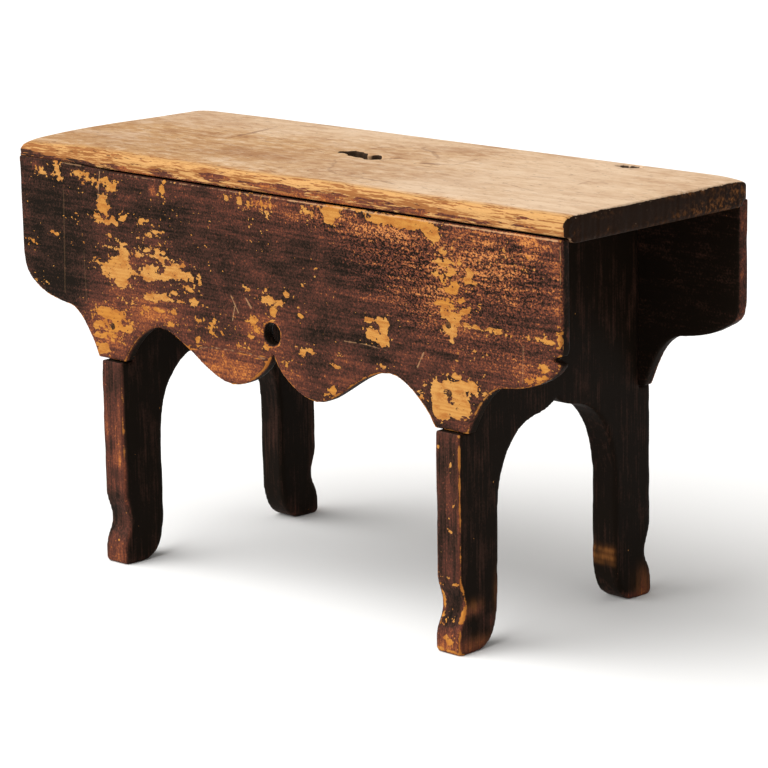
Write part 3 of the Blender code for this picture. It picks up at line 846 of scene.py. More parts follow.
# %% [markdown]
# The legs are marked in the same way. The marks on their fronts lie in x and z, and those on the outer
# sides of the boards in y and z. The backs of the rear legs can't be seen, so each takes the marks of the
# front leg at the other end.

# %% Mark the legs' wear
BARE_LEGS = {
    "right": [
        (177, 134.5, 4.0, 0.9, 65), (175.5, 89, 2.6, 0.9, -20), (180.5, 107, 2.0, 0.8, 45),
        (178.5, 94, 1.2, 0.7), (184.5, 28, 2.6, 5), (177, 9.5, 3, 3), (173, 12, 2, 1.5), (180, 2.5, 7, 1.2),
        (168, 2.5, 4, 1.2), (166.2, 36, 1.0, 8), (166, 147, 1.3, 1.6), (168, 54.3, 5, 0.45, 5),
        (181, 51, 5, 0.45, 15),
    ],
    "left": [(-172.5, 18.5, 0.9, 0.5)],
}
RUBBED_LEGS = {
    "right": [
        (176, 8, 8, 10, 0.55), (184.5, 30, 3, 12, 0.5), (165.5, 34, 3, 16, 0.4), (185, 100, 2, 60, 0.3),
    ],
    "left": [
        (-174, 106, 12, 18, 0.42), (-170, 86, 9, 10, 0.42), (-172, 60, 14, 8, 0.1), (-168, 38, 5, 16, 0.25),
        (-174, 8, 12, 9, 0.2), (-184, 92, 4, 40, 0.1),
    ],
}
SOOTY_LEGS = {
    "right": [(176, 100, 14, 50, 0.22)],
    "left": [
        (-178, 90, 7, 12, 0.55), (-174, 72, 8, 6, 0.5), (-176, 142, 12, 10, 0.35), (-172, 52, 12, 8, 0.5),
    ],
}
FLECKED_LEGS = [(174, 26, 12, 7, 0.8), (176, 10, 9, 8, 0.6), (-169, 36, 5, 9, 0.35)]
RUBBED_SIDES = [
    (-90, 31, 9, 5, 0.8), (-88, 6, 20, 6, 0.6), (-65, 34, 2.5, 18, 0.5), (95, 10, 10, 12, 0.5),
    (80, 3, 22, 4, 0.4), (-74, 20, 8, 6, 0.3),
]
SCUFFED_SIDES = [
    (-90, 33, 8, 5, 0.6), (-86, 7, 14, 5, 0.4), (-66, 36, 3, 16, 0.35), (94, 10, 9, 11, 0.5),
]
print("marks on the outer sides:", len(RUBBED_SIDES) + len(SCUFFED_SIDES))

# %% [markdown]
# As on the seat, the normals say which side of a leg a point belongs to. The fronts and backs of the legs
# are clean apart from their marks, and all other sides are given dark film as painted shade. The arrises at
# the front are the ones that get kicked.

# %% Store the end boards' masks
END_ARRIS = 0.34 * MM


def mark_end_board(piece, side):
    """Leg fronts carry the marks seen in the photograph; the rear legs take them turned about."""
    points, normals, (x, y, z) = survey(piece.data)
    on_front = step(-normals[:, 1], 0.3, 0.7) * step(y, -80, -92)
    on_rear = step(normals[:, 1], 0.3, 0.7) * step(y, 80, 92)
    out = 1 if side == "right" else -1
    on_side = step(out * normals[:, 0], 0.3, 0.7)
    other = "left" if side == "right" else "right"
    depth = np.where((on_front > 0.4) & (y < -80), flaked_depth(x, z, BARE_LEGS[side]), FAR_OUTSIDE)
    depth = np.where(on_rear > 0.4, flaked_depth(x, z, turned(BARE_LEGS[other])), depth)
    keep_mask(piece, "flake", depth)
    scuff = on_side * soft_clouds(y, z, SCUFFED_SIDES)
    if side == "right":
        # the rear leg's inner edge, worn in ripples at the ankle
        in_arch = step(-normals[:, 1], 0.5, 0.8) * step(y, 35, 45)
        scuff += in_arch * band(z, 36, 7) * (0.75 + 0.25 * np.cos(z * 1.1))
    keep_mask(piece, "scuff", np.clip(scuff, 0.0, 1.0))
    keep_mask(piece, "craze", 0.12 * on_front)
    keep_mask(piece, "fleck", (on_front + on_rear) * soft_clouds(x, z, FLECKED_LEGS))
    rub = on_front * soft_clouds(x, z, RUBBED_LEGS[side])
    rub += on_rear * soft_clouds(x, z, turned(RUBBED_LEGS[other]))
    rub += on_side * soft_clouds(y, z, RUBBED_SIDES) + 0.25 * step(z, 10, 1)
    corner = proud_corners(piece.data, points, read_edges(piece.data), END_ARRIS)
    if side == "left":
        rub = np.maximum(rub, 0.7 * corner ** 1.7 * step(x, -176, -168) * step(-y, 80, 90))
    keep_mask(piece, "rub", np.clip(rub, 0.0, 1.0))
    # the sides that are not front or back get dark film as painted shade; on the fronts and backs only the
    # ankle band and the sooty spots darken it
    lit = np.maximum(on_front, on_rear)
    dark_ankle = 0.55 * band(z, 34, 14)
    dark_ankle = np.maximum(dark_ankle, soft_clouds(x, z, SOOTY_LEGS[side]))
    keep_mask(piece, "soot_and_shade", np.clip(0.9 - (0.9 - dark_ankle) * lit - 0.6 * rub, 0.0, 1.0))
    kicked = np.where(x > (x.min() + x.max()) / 2, 1.0, 0.7) * step(-y, 84, 94)
    if side == "left":
        kicked *= 0.5 + 0.25 * band(z, 112, 32)
    keep_mask(piece, "arris", 1.5 * corner ** 1.35 * np.maximum(kicked, 0.45) * step(z, 160, 157))
    return float(np.mean(corner))


left_share = mark_end_board(left_end, "left")
right_share = mark_end_board(right_end, "right")
print("share of corners on the left and right board:", round(left_share, 3), round(right_share, 3))

# %% [markdown]
# ## The nails
#
# Hand-made nails hold the aprons to the end boards. Only their heads show: small, uneven and a little
# domed, driven nearly level with the paint, and some are painted over. A turned disc would look machine
# made, so each head is a ring of points with its own radius, over a square tapered shank that fills the
# bore.

# %% Forge the nails
HEAD_SIDES = 14
HEAD_STANDS = 0.5 * MM
HEAD_SUNK = -0.9 * MM
HEAD_SHARE = 0.8
HEAD_DENTS = (0.86, 1.12)
CROWN_HEIGHT = 1.1
HEAD_RINGS = ((0.35, 1.0), (0.72, 0.8), (1.0, 0.25), (0.96, -0.9))
UNDER_PAINT = ("left_middle", "right_high")
SHANK_CORNERS = ((1, 1), (-1, 1), (-1, -1), (1, -1))
SHANK_START = 1.2 * MM
SHANK_TOP = 1.55 * MM
SHANK_TIP = 0.7 * MM
FIRST_NAIL_SEED = 80


def forge_head(form, middle_x, face, middle_z, out, radius, seed):
    """Add a domed head, whose rings of points are pushed in and out at random."""
    dents = np.random.default_rng(seed).uniform(*HEAD_DENTS, HEAD_SIDES)
    crown = form.verts.new((middle_x, face + out * HEAD_STANDS * CROWN_HEIGHT, middle_z))
    rings = []
    for share, height in HEAD_RINGS:
        ring = []
        for number, dent in enumerate(dents):
            angle = 2 * math.pi * number / HEAD_SIDES
            reach = radius * share * dent
            ring.append(form.verts.new((
                middle_x + reach * math.cos(angle), face + out * HEAD_STANDS * height,
                middle_z + reach * math.sin(angle))))
        rings.append(ring)
    for number in range(HEAD_SIDES):
        after = (number + 1) % HEAD_SIDES
        form.faces.new((crown, rings[0][number], rings[0][after]))
        for inner, outer in itertools.pairwise(rings):
            form.faces.new((inner[number], outer[number], outer[after], inner[after]))
    form.faces.new(rings[-1][::-1])


def forge_shank(form, middle_x, middle_z, start, tip):
    """Add a square shank that tapers from under the head to the tip."""
    top, end = ([form.verts.new((middle_x + half * a, place, middle_z + half * b)) for a, b in SHANK_CORNERS]
                for half, place in ((SHANK_TOP, start), (SHANK_TIP, tip)))
    for number in range(len(SHANK_CORNERS)):
        after = (number + 1) % len(SHANK_CORNERS)
        form.faces.new((top[number], end[number], end[after], top[after]))
    form.faces.new(top)
    form.faces.new(end[::-1])


def forged_nail(node_name, piece_name, seed):
    """An uneven domed head and a square shank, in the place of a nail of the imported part."""
    low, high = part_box(node_name)
    out = -1.0 if "front" in node_name else 1.0
    face, tip = (low.y, high.y) if out < 0 else (high.y, low.y)
    middle_x = (low.x + high.x) / 2
    middle_z = (low.z + high.z) / 2
    if node_name.endswith(UNDER_PAINT):
        face += out * HEAD_SUNK
    form = bmesh.new()
    forge_head(form, middle_x, face, middle_z, out, HEAD_SHARE * (high.x - low.x) / 2, seed)
    forge_shank(form, middle_x, middle_z, face - out * SHANK_START, tip)
    bmesh.ops.recalc_face_normals(form, faces=form.faces)
    mesh = bpy.data.meshes.new(piece_name)
    form.to_mesh(mesh)
    form.free()
    piece = bpy.data.objects.new(piece_name, mesh)
    scene.collection.objects.link(piece)
    return piece


nails = {}
for number, name in enumerate(nail_names("front") + nail_names("rear")):
    nails[name] = forged_nail(name, name.replace("nail_", "forged_nail_"), FIRST_NAIL_SEED + number)
print("nails forged:", len(nails))

# %% [markdown]
# ## Short words for nodes
#
# Node trees built in code are long to read, because every node takes several lines. Here a wire is one
# output of a node, and wires can be added and multiplied, which lays the Math nodes by itself. A finish
# then reads like a sum.

# %% Wires
class Wire:
    """One output of a node, that can be added to, multiplied and shaped."""

    def __init__(self, tree, socket):
        self.tree = tree
        self.socket = socket

    def math(self, operation, other=0.0, clamp=False):
        return lay(self.tree, "Math", {0: self, 1: other}, operation=operation, use_clamp=clamp)

    def __add__(self, other):
        return self.math("ADD", other)

    def __sub__(self, other):
        return self.math("SUBTRACT", other)

    def __mul__(self, other):
        return self.math("MULTIPLY", other)

    def vector(self, operation, other, output=0):
        return lay(self.tree, "VectorMath", {0: self, 1: other}, output, operation=operation)

    def climb(self, low, high, start=0.0, end=1.0):
        """A soft climb from start to end while the value goes from low to high."""
        ends = {0: self, 1: low, 2: high, 3: start, 4: end}
        return lay(self.tree, "MapRange", ends, interpolation_type="SMOOTHSTEP")

    def noise(self, scales, detail=2.0, roughness=0.5):
        """Noise with that many lumps in a metre along each axis, from about -0.4 to 0.4."""
        stretched = self.vector("MULTIPLY", scales)
        values = {"Vector": stretched, "Scale": 1.0, "Detail": detail, "Roughness": roughness}
        return lay(self.tree, "TexNoise", values) - 0.5


def lay(tree, kind, values, output=0, **settings):
    """Add a node, feed its inputs by number or name, and hand back one of its outputs as a wire."""
    node = tree.nodes.new("ShaderNode" + kind)
    for name, setting in settings.items():
        setattr(node, name, setting)
    for socket, value in values.items():
        if isinstance(value, Wire):
            tree.links.new(value.socket, node.inputs[socket])
        else:
            node.inputs[socket].default_value = value
    return Wire(tree, node.outputs[output])


print("wires are ready")

# %% [markdown]
# A few more words make the finishes short: a mix of two colours, a mask by its name, a colour by its
# screen values, and a node group that is built once and then placed in any material with its own values.

# %% Mixes, masks, colours and groups
def mixed(share, first, second):
    """A blend of two colours; a share of 0 gives the first and 1 the second."""
    tree = next(value.tree for value in (share, first, second) if isinstance(value, Wire))
    return lay(tree, "Mix", {0: share, 6: first, 7: second}, 2, data_type="RGBA")


def mask(tree, name):
    return lay(tree, "Attribute", {}, "Fac", attribute_name=name)


def even(scale):
    return (scale, scale, scale)


def colour(red, green, blue):
    """A colour as seen on a screen, from 0 to 255, in the linear values that shaders use."""
    parts = [part / 255 for part in (red, green, blue)]
    return (*(p / 12.92 if p <= 0.04045 else ((p + 0.055) / 1.055) ** 2.4 for p in parts), 1.0)


def join(sockets, **wires):
    """Join wires to sockets, each named with _ for each space."""
    for name, wire in wires.items():
        wire.tree.links.new(wire.socket, sockets[name.replace("_", " ")])


SOCKET_KINDS = {"Place": "Vector", "From": "Vector", "To": "Vector", "Colour": "Color"}


def new_group(name, takes, gives):
    """A shader node group with named sockets; returns it, its inputs as wires and its output sockets."""
    group = bpy.data.node_groups.new(name, "ShaderNodeTree")
    for way, sockets in (("INPUT", takes), ("OUTPUT", gives)):
        for socket in sockets:
            kind = "NodeSocket" + SOCKET_KINDS.get(socket, "Float")
            group.interface.new_socket(name=socket, in_out=way, socket_type=kind)
    start = group.nodes.new("NodeGroupInput")
    end = group.nodes.new("NodeGroupOutput")
    return group, [Wire(group, start.outputs[socket]) for socket in takes], end.inputs


def use_group(tree, group, **values):
    """Place a group in a tree, its inputs given by name with _ for each space; returns its outputs."""
    inputs = {name.replace("_", " "): value for name, value in values.items()}
    node = lay(tree, "Group", inputs, node_tree=group).socket.node
    return {socket.name: Wire(tree, socket) for socket in node.outputs}


print("vector or colour sockets:", ", ".join(SOCKET_KINDS))

# %% [markdown]
# ## Pine grain, for every board
#
# A plank is a slice of a log, and its figure is where the slice meets the yearly rings. So the group
# measures the distance from an imagined heart of the log, lets it wander along the plank, and turns it
# into rings. The rings then agree on the top, the edge and the end of a board, which painted streaks
# would not. Fibre is fine noise drawn out along the grain, and tone is the slow change of colour over the
# board.

# %% Build the grain group
grain, (place, heart_across, heart_below, ring_width, sway), gives = new_group(
    "pine grain", ("Place", "Heart across", "Heart below", "Ring width", "Sway"),
    ("Late wood", "Fibre", "Tone"))


def from_heart(axis, heart, scales):
    part = lay(grain, "SeparateXYZ", {0: place}, axis)
    return part - heart + place.noise(scales, 4.0) * sway


across = from_heart(1, heart_across, (3.2, 9.0, 9.0))
below = from_heart(2, heart_below, (2.7, 8.0, 8.0))
year = (across * across + below * below).math("SQRT").math("DIVIDE", ring_width).math("FRACT")
late = year.climb(0.35, 0.92) * year.climb(1.0, 0.94)
fibre = place.noise((14.0, 520.0, 520.0), 3.0, 0.6)
join(gives, Late_wood=late, Fibre=fibre, Tone=place.noise((5.0, 30.0, 30.0)))
print("group:", grain.name)

# %% [markdown]
# ## Flaking, for every painted board
#
# Old oil paint lets go in flakes, with a sharp ragged rim that follows the grain. The group takes the
# depth mask in millimetres and adds three sizes of noise to it, so the place comes from the mask and the
# raggedness from the noise. Small flecks are the peaks of another noise, and they appear where the fleck
# mask lowers the bar. It gives out how bare the spot is.

# %% Build the flaking group
flaking, (place, depth, fleck, ragged, drawn_out), gives = new_group(
    "flaking paint", ("Place", "Depth", "Fleck", "Ragged", "Drawn out"), ("Bare",))
along_grain = place.vector("MULTIPLY", lay(flaking, "CombineXYZ", {0: drawn_out, 1: 1.0, 2: 1.0}))
rim = along_grain.noise(even(150.0), 3.0, 0.6) * 5.5 + along_grain.noise(even(320.0), 1.0, 0.6) * 6.5
rim = rim + along_grain.noise(even(800.0)) * 1.6
edge = depth + rim * ragged
beside = depth.climb(-9.0, -0.5, 0.0, 0.6) * ragged
bar = fleck.math("MAXIMUM", beside) * -0.27 + 0.32
spots = (along_grain.noise(even(390.0), 1.0, 0.6) - bar).climb(0.0, 0.02)
left_over = along_grain.noise(even(440.0), 2.0, 0.6).climb(0.155, 0.195, 1.0, 0.13)
join(gives, Bare=(edge.climb(-0.15, 0.15) * left_over).math("MAXIMUM", spots))
print("group:", flaking.name)

# %% [markdown]
# ## The paint film
#
# The stool's paint is a dark brown coat brushed over a red-brown one. Where hands have thinned it the red
# shows, then the stained wood. So the group works out one number, the thickness of the film, and a colour
# ramp turns it into paint: brush strokes, clouds, soot and painted shade make it thicker, rubbing and rusty
# specks make it thinner, and crazing breaks it into crumbs.

# %% Build the paint film group
FILM_COLOURS = (
    (0.00, colour(184, 116, 56)), (0.15, colour(148, 85, 46)), (0.32, colour(108, 60, 42)),
    (0.52, colour(78, 45, 36)), (0.75, colour(51, 34, 27)), (1.00, colour(24, 18, 13)),
)
CRUMB_PALE = colour(190, 132, 88)
film, (place, rub, soot_and_shade, craze, brush_marks, dust), gives = new_group(
    "old paint film", ("Place", "Rub", "Soot", "Craze", "Brush marks", "Dust"), ("Colour", "Thickness"))
strokes = place.noise((12.0, 200.0, 200.0), 4.0, 0.65) * 0.48 + place.noise((30.0, 600.0, 600.0), 3.0) * 0.6
clouds = place.noise((34.0, 60.0, 60.0), 5.0, 0.6) * 0.85 + place.noise(even(700.0)) * dust
rust = place.noise(even(460.0), 2.0, 0.6).climb(0.09, 0.24, 0.0, 0.34) * soot_and_shade.climb(0.2, 1.0, 1.0, 0.15)
crumbs = place.noise((540.0, 760.0, 760.0), 3.0, 0.7).climb(-0.05, 0.06, -0.5, 0.38)
thickness = strokes * (craze + brush_marks) + clouds - rust + crumbs * craze + soot_and_shade * 0.4
thickness = (thickness - rub * 0.62).math("ADD", 0.66, clamp=True)
paint = lay(film, "ValToRGB", {0: thickness})
ramp = paint.socket.node.color_ramp
while len(ramp.elements) < len(FILM_COLOURS):
    ramp.elements.new(0.5)
for stop, (at, tint) in zip(ramp.elements, FILM_COLOURS):
    stop.position = at
    stop.color = tint
crumb = craze * thickness.climb(0.26, -0.06, 0.0, 0.5)
join(gives, Colour=mixed(crumb, paint, CRUMB_PALE), Thickness=thickness)
print("group:", film.name)

# %% [markdown]
# ## Rubbed arrises and scratches
#
# An arris loses its paint in a broken line, so its mask is cut by a noise that runs along it. A scratch
# is a thin line between two points of a board's face, and a group that measures the distance to that line
# draws it sharper than the faces of any mesh.

# %% Build the arris and scratch groups
arris, (place, corner), gives = new_group("rubbed arris", ("Place", "Corner"), ("Bare",))
worn = corner + place.noise(even(85.0), 3.0, 0.6) * 1.7 + place.noise(even(480.0)) * 0.5
join(gives, Bare=worn.climb(0.62, 0.76) * corner.climb(0.4, 0.62))

scratch, (place, start, end, width), gives = new_group(
    "scratch", ("Place", "From", "To", "Width"), ("Line",))
way = end.vector("SUBTRACT", start)
gone = place.vector("SUBTRACT", start)
length = way.vector("DOT_PRODUCT", way, 1)
share = gone.vector("DOT_PRODUCT", way, 1).math("DIVIDE", length, clamp=True)
foot = lay(scratch, "VectorMath", {0: way, "Scale": share}, operation="SCALE")
away = gone.vector("DISTANCE", foot, 1) + place.noise(even(300.0)) * (1.6 * MM)
join(gives, Line=away.math("DIVIDE", width).climb(1.0, 0.45))
print("groups:", arris.name, "and", scratch.name)

# %% [markdown]
# ## The finish of the aprons and end boards
#
# Each painted board has the same layers: pine below, paint above, and masks that say which shows. The
# board's own space is turned so that the first axis follows the grain, upright in the end boards. The
# paint film has a height, so a Bump node lets its rim catch the light.

# %% Start a material
def start_material(name, upright=False):
    """A new material: its tree, its shader's inputs, and the place on the board and along the grain."""
    material = bpy.data.materials.new(name)
    material.use_nodes = True
    tree = material.node_tree
    place = lay(tree, "TexCoord", {}, "Object")
    along = place
    if upright:
        along = lay(tree, "VectorRotate", {"Vector": place, "Angle": math.pi / 2}, rotation_type="Y_AXIS")
    return material, tree, tree.nodes["Principled BSDF"].inputs, place, along


def dress(shader, tint, roughness, height, gloss):
    """Feed the shader: a colour, a roughness and a height in millimetres, with one gloss all over."""
    bump = lay(height.tree, "Bump", {"Height": height, "Distance": MM})
    join(shader, Base_Color=tint, Roughness=roughness, Normal=bump)
    shader["Specular IOR Level"].default_value = gloss


def scratched(tree, place, tint, lines, dirt):
    """Draw thin lines over a colour; each is a start, an end, a width and a strength."""
    for start, end, width, strength in lines:
        line = use_group(tree, scratch, Place=place, From=start, To=end, Width=width)["Line"]
        tint = mixed(line * strength, tint, dirt)
    return tint


print("materials start from the board's own space")

# %% [markdown]
# One function paints both kinds of board. The aprons' paint flakes in ragged patches, and their scratches
# and a painted highlight along the top edge are drawn as thin lines. The legs' paint is rubbed more than
# flaked, so its rims are smoother and its brush strokes stronger.

# %% Paint the boards
PINE_LIGHT = colour(188, 138, 76)
PINE_MID = colour(176, 118, 50)
PINE_LATE = colour(150, 92, 38)
PINE_STAIN = colour(152, 90, 40)
PINE_ORANGE = colour(178, 114, 44)
PALE_SCRATCH_AND_HIGHLIGHT = colour(190, 146, 104)
SCUFF = colour(128, 80, 40)
PAINT_GLOSS = 0.02
BOARD_RINGS = 2.6 * MM
BOARD_SWAY = 10 * MM


def painted_board(name, upright, heart, ragged, strokes, dust, lines):
    """Pine under an old coat; heart is where the log's middle lay, and lines are scratches and painted
    highlights to draw.
    """
    material, tree, shader, place, along = start_material(name, upright)
    figure = use_group(tree, grain, Place=along, Heart_across=heart[0], Heart_below=heart[1],
                       Ring_width=BOARD_RINGS, Sway=BOARD_SWAY)
    rub = mask(tree, "rub")
    corner = mask(tree, "arris")
    wood = mixed(figure["Tone"].climb(-0.2, 0.2), PINE_MID, PINE_LIGHT)
    wood = mixed(rub.climb(0.1, 0.7, 0.0, 0.8), wood, PINE_ORANGE)
    stain = along.noise((90.0, 200.0, 200.0), 4.0, 0.65)
    wood = mixed(stain.climb(-0.08, 0.17, 0.0, 0.8), wood, PINE_STAIN)
    wood = mixed(figure["Late wood"] * 0.25 + figure["Fibre"].climb(0.0, 0.2, 0.0, 0.45), wood, PINE_LATE)
    wood = mixed(corner.climb(0.15, 0.5, 0.0, 0.5), wood, PINE_STAIN)
    coat = use_group(tree, film, Place=along, Rub=rub, Soot=mask(tree, "soot_and_shade"), Craze=mask(tree, "craze"),
                     Brush_marks=strokes, Dust=dust)
    bare = use_group(tree, flaking, Place=along, Depth=mask(tree, "flake"), Fleck=mask(tree, "fleck"),
                     Ragged=ragged, Drawn_out=0.7)["Bare"]
    bare = bare.math("MAXIMUM", use_group(tree, arris, Place=place, Corner=corner)["Bare"])
    tint = scratched(tree, place, mixed(bare, coat["Colour"], wood), lines, PALE_SCRATCH_AND_HIGHLIGHT)
    scuff = mask(tree, "scuff") * place.noise((220.0, 220.0, 60.0), 3.0, 0.6).climb(-0.3, 0.2)
    tint = mixed(scuff, tint, SCUFF)
    height = (coat["Thickness"] * 0.08 + 0.10) * bare.climb(1.0, 0.0) + figure["Fibre"] * 0.05
    dress(shader, tint, bare.climb(0.0, 1.0, 0.46, 0.62), height, PAINT_GLOSS)
    return material


def drawn(lines, place):
    """Lines of two points and a width in millimetres, each with its strength, placed on a face."""
    return [(Vector(place(a, b)) * MM, Vector(place(c, d)) * MM, width * MM, strength)
            for a, b, c, d, width, strength in lines]


APRON_FRONT = -99
SPLIT_WIDTH = 0.7
SPLIT_STRENGTHS = (0.3, 0.35, 0.3)
SPLIT_LINES = [(*start, *end, SPLIT_WIDTH, strength)
               for (start, end), strength in zip(itertools.pairwise(SPLIT_LINE), SPLIT_STRENGTHS)]
APRON_LINES = drawn((
    (-183, 306, -186.5, 280, 0.7, 0.5), (-42, 226, -34.5, 214.5, 0.7, 0.42),
    (-38, 219, -41, 208, 0.6, 0.42), (-26, 226, -21, 220, 0.8, 0.42), (151, 211, 145, 200, 0.7, 0.42),
    (74, 208.5, 95, 209, 0.5, 0.3), (95, 209, 115, 207.5, 0.5, 0.3), *SPLIT_LINES,
    (-226, 284, -229, 205, 0.8, 0.06), (-205, 240, -204, 200, 0.7, 0.05),
    # the lines at heights 305.8 and 303.4 run along the top edge under the seat: the worn arris, drawn pale
    # also as a painted highlight
    (243, 228, 242, 203, 0.7, 0.14), (-226, 305.8, -196, 305.6, 0.7, 0.28),
    (-165, 303.4, 20, 303.4, 0.6, 0.35), (20, 303.3, 274, 303.3, 0.8, 0.6),
    (276.2, 300, 276.4, 228, 0.6, 0.35),
), lambda x, z: (x, APRON_FRONT, z))
apron_paint = painted_board("flaked apron paint", upright=False, heart=(0.06, -0.08), ragged=1.0,
                            strokes=1.0, dust=0.9, lines=APRON_LINES)
leg_paint = painted_board("rubbed leg paint", upright=True, heart=(-0.12, 0.04), ragged=0.6,
                          strokes=1.25, dust=0.35, lines=())
print("painted finishes:", apron_paint.name, "and", leg_paint.name)

# %% [markdown]
# ## The scrubbed seat
#
# Scrubbed pine is pale and almost grey on top, and turns yellow at the front where clothes have polished
# it. The same flaking group works here the other way round: nearly all is bare, and the mask keeps paint
# on the ends and in streaks along the front edge.

# %% Choose the seat's colours and its dark marks
SCRUBBED_PALE = colour(207, 181, 153)
SCRUBBED_TAN = colour(181, 142, 99)
SEAT_STAIN = colour(146, 104, 72)
SEAT_DIRT = colour(112, 80, 62)
EDGE_YELLOW = colour(190, 144, 90)
EDGE_BROWN = colour(132, 78, 40)
HOLLOW_PAINTED_SHADE = colour(36, 25, 18)
END_PAINT_AND_SHADE = colour(34, 19, 9)
UNDER_BROWN = colour(122, 88, 60)
UNDER_DARK = colour(66, 44, 30)
WOOD_GLOSS = 0.03
SEAT_TOP = 319.6
SEAT_HEART = (0.012, 0.25)
SEAT_RINGS = 11 * MM
SEAT_SWAY = 70 * MM
SEAT_LINES = drawn((
    (-147.7, 12, -153.2, 45, 3.2, 0.5), (-146.7, -4, -147.7, 12, 2, 0.2),
    (-153, 45, -158, 64, 2.5, 0.22), (-112.5, 5, -81, 15.6, 2.2, 0.4), (-7, -24, 16.6, -54, 1.6, 0.3),
    (16.6, -54, 39.4, -69.7, 2, 0.3), (39.4, -69.7, 65, -71.4, 2, 0.25),
    (65, -71.4, 102.4, -74.5, 2.2, 0.45), (-145.5, 77.4, -134.8, 80.3, 2.5, 0.4),
    (-140, 88.5, -110, 95.5, 3, 0.4), (55, 4.7, 66.6, 5.1, 3.4, 0.65), (66, 5.2, 78, 11, 2, 0.3),
    (78, 11, 72, 44, 1.8, 0.3), (-19, 19, -21.5, 41, 1.6, 0.3), (-21.5, 41, -3.8, 54.7, 2, 0.3),
    (4.5, 58, 23.8, 46, 2, 0.35), (23.8, 46, 50, 27.4, 2, 0.3), (155, 9.2, 171, 9.8, 2.2, 0.4),
    (160, -25.6, 197.5, -37.3, 1.8, 0.35), (204.7, 3, 202.5, 16.2, 1.8, 0.3),
    (202.5, 16.2, 218.8, 17.3, 1.8, 0.3), (11.6, 2.7, 25, 8, 2.6, 0.6),
), lambda x, y: (x, y, SEAT_TOP))
print("dark marks on the seat:", len(SEAT_LINES))

# %% [markdown]
# The top is a blend of three noises, all drawn out along the grain: smudges, streaks and hairs. The pale
# mask calms them where the wood was scrubbed hardest. The dark marks lie over them, and a little noise
# bends each one, because no stain is ruled.

# %% Scrub the top
WOBBLE = 12 * MM
scrubbed, tree, shader, place, along = start_material("scrubbed pine seat")
figure = use_group(tree, grain, Place=along, Heart_across=SEAT_HEART[0], Heart_below=SEAT_HEART[1],
                   Ring_width=SEAT_RINGS, Sway=SEAT_SWAY)
wood = mixed(mask(tree, "pale"), SCRUBBED_TAN, SCRUBBED_PALE)
smudge = place.noise((14.0, 30.0, 30.0), 5.0, 0.65)
streak = place.noise((60.0, 150.0, 150.0), 4.0, 0.7)
hair = place.noise((50.0, 290.0, 290.0), 2.0, 0.6)
calm = mask(tree, "pale").climb(0.2, 1.0, 1.1, 0.32)
dark = (smudge.climb(-0.02, 0.18, 0.0, 0.4) + streak.climb(-0.05, 0.16, 0.0, 0.38)) * calm
wood = mixed(dark, wood, SEAT_STAIN)
wood = mixed(smudge.climb(0.0, -0.16, 0.0, 0.5) + streak.climb(0.02, -0.14, 0.0, 0.5), wood, SCRUBBED_PALE)
wood = mixed(mask(tree, "stain") * 0.5 + hair.climb(0.04, 0.18, 0.0, 0.36) * calm, wood, SEAT_STAIN)
wood = mixed(figure["Late wood"] * 0.14, wood, SEAT_STAIN)
wobble = {axis: place.noise(even(scale), 3.0) * WOBBLE for axis, scale in enumerate((50.0, 70.0))}
bent = place.vector("ADD", lay(tree, "CombineXYZ", wobble))
wood = scratched(tree, bent, wood, SEAT_LINES, SEAT_DIRT)
print("nodes for the top:", len(tree.nodes))

# %% [markdown]
# The front edge is yellow with handling, and dirt has settled in its grooves as fine brown lines. The
# underside was never scrubbed, so it is brown and streaked, and the insides of the slot and the knot are
# painted nearly black as shade.

# %% Colour the edge, the underside and the hollows
handled = (mask(tree, "edge") + place.noise((18.0, 200.0, 200.0), 3.0) * 0.7).math("ADD", 0.0, clamp=True)
wood = mixed(handled.climb(0.1, 1.0), wood, EDGE_YELLOW)
lines = place.noise((55.0, 760.0, 760.0), 3.0, 0.7) + place.noise((22.0, 260.0, 260.0), 3.0) * 0.5
lines = lines + mask(tree, "streak") * 0.11
wood = mixed(lines.climb(0.01, 0.12) * handled.climb(0.0, 0.7, 0.0, 0.85), wood, EDGE_BROWN)
old = mixed(streak.climb(-0.14, 0.16, 0.0, 0.8), UNDER_BROWN, UNDER_DARK)
old = mixed(figure["Late wood"] * 0.45 + hair.climb(0.02, 0.16, 0.0, 0.5), old, UNDER_DARK)
old = mixed(smudge.climb(0.02, 0.2, 0.0, 0.6), old, SEAT_DIRT)
wood = mixed(mask(tree, "under"), wood, old)
# the insides of the slot and the knot are darkened as painted shade
wood = mixed(mask(tree, "hollow").climb(0.15, 0.6, 0.0, 0.96), wood, HOLLOW_PAINTED_SHADE)
print("nodes with the edge and underside:", len(tree.nodes))

# %% [markdown]
# Last comes the paint that is left. The flaking group is given a finer space here, and the streak mask
# lets more flecks through, so that the paint on the edge ends in long thin flakes.

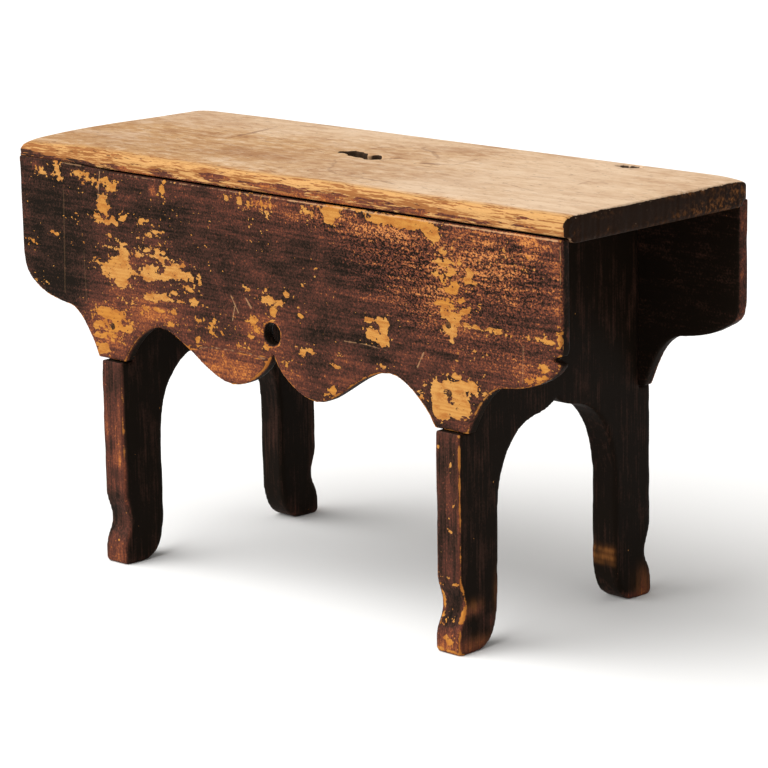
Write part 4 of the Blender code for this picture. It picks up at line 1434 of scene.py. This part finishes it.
# %% Lay the paint that is left over the wood
bare = use_group(tree, flaking, Place=along.vector("MULTIPLY", even(2.2)), Depth=mask(tree, "flake"),
                 Fleck=mask(tree, "streak").climb(0.1, 0.9, 0.0, 0.86),
                 Ragged=mask(tree, "soot_and_shade").climb(0.0, 1.0, 0.85, 0.3), Drawn_out=0.11)["Bare"]
coat = use_group(tree, film, Place=along, Rub=mask(tree, "rub"), Soot=mask(tree, "soot_and_shade"), Craze=0.1,
                 Brush_marks=1.3, Dust=0.5)
height = bare.climb(1.0, 0.0) * 0.12 + (streak * 0.2 + lines * 0.4) * handled.climb(0.2, 0.9, 0.3, 1.0)
scuff = mask(tree, "scuff") * place.noise((90.0, 300.0, 300.0), 4.0, 0.7).climb(-0.05, 0.2)
# the ends' dark paint, warmed and darkened further as painted shade
paint = mixed(mask(tree, "soot_and_shade") * 0.6, coat["Colour"], END_PAINT_AND_SHADE)
tint = mixed(scuff, mixed(bare, paint, wood), SCUFF)
dress(shader, tint, bare.climb(0.0, 1.0, 0.5, 0.66), height, WOOD_GLOSS)
print("finish:", scrubbed.name)

# %% [markdown]
# ## Old iron
#
# The nail heads have lost their paint and rusted to a dull dark brown. Two sizes of noise, one for the
# rust bloom and one for the pits, are enough at this size.

# %% Finish the nails
IRON_DARK = colour(52, 36, 26)
IRON_RUST = colour(100, 66, 40)
IRON_GLOSS = 0.03
old_iron, tree, shader, place, _ = start_material("old iron")
bloom = place.noise(even(700.0), 3.0).climb(-0.1, 0.15)
pits = place.noise(even(1800.0)) * 0.12
dress(shader, mixed(bloom, IRON_DARK, IRON_RUST), bloom.climb(0.0, 1.0, 0.6, 0.85), pits, IRON_GLOSS)
print("finish:", old_iron.name)

# %% [markdown]
# ## Put everything in its place
#
# Each piece rides on the part's only body, stands for its imported node, and takes its finish. Smooth
# shading suits all of the boards, because their corners are round in the mesh itself.

# %% Join the pieces to the part
PIECES = [
    (seat, "seat_board", "scrubbed_pine", scrubbed),
    (front_apron, "front_apron", "apron_paint", apron_paint),
    (rear_apron, "rear_apron", "apron_paint", apron_paint),
    (left_end, "left_end_board", "leg_paint", leg_paint),
    (right_end, "right_end_board", "leg_paint", leg_paint),
]
PIECES += [(nail, name, "iron", old_iron) for name, nail in nails.items()]
for piece, node_name, slot_name, finish in PIECES:
    piece.data.materials.append(finish)
    piece.data.shade_smooth()
    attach(piece, "root")
    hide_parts(node_name)
print("pieces in place:", len(PIECES))

# %% [markdown]
# Wear takes wood away, so the worn stool should hardly grow past its solids.

# %% Finish
print("the stool is ready")
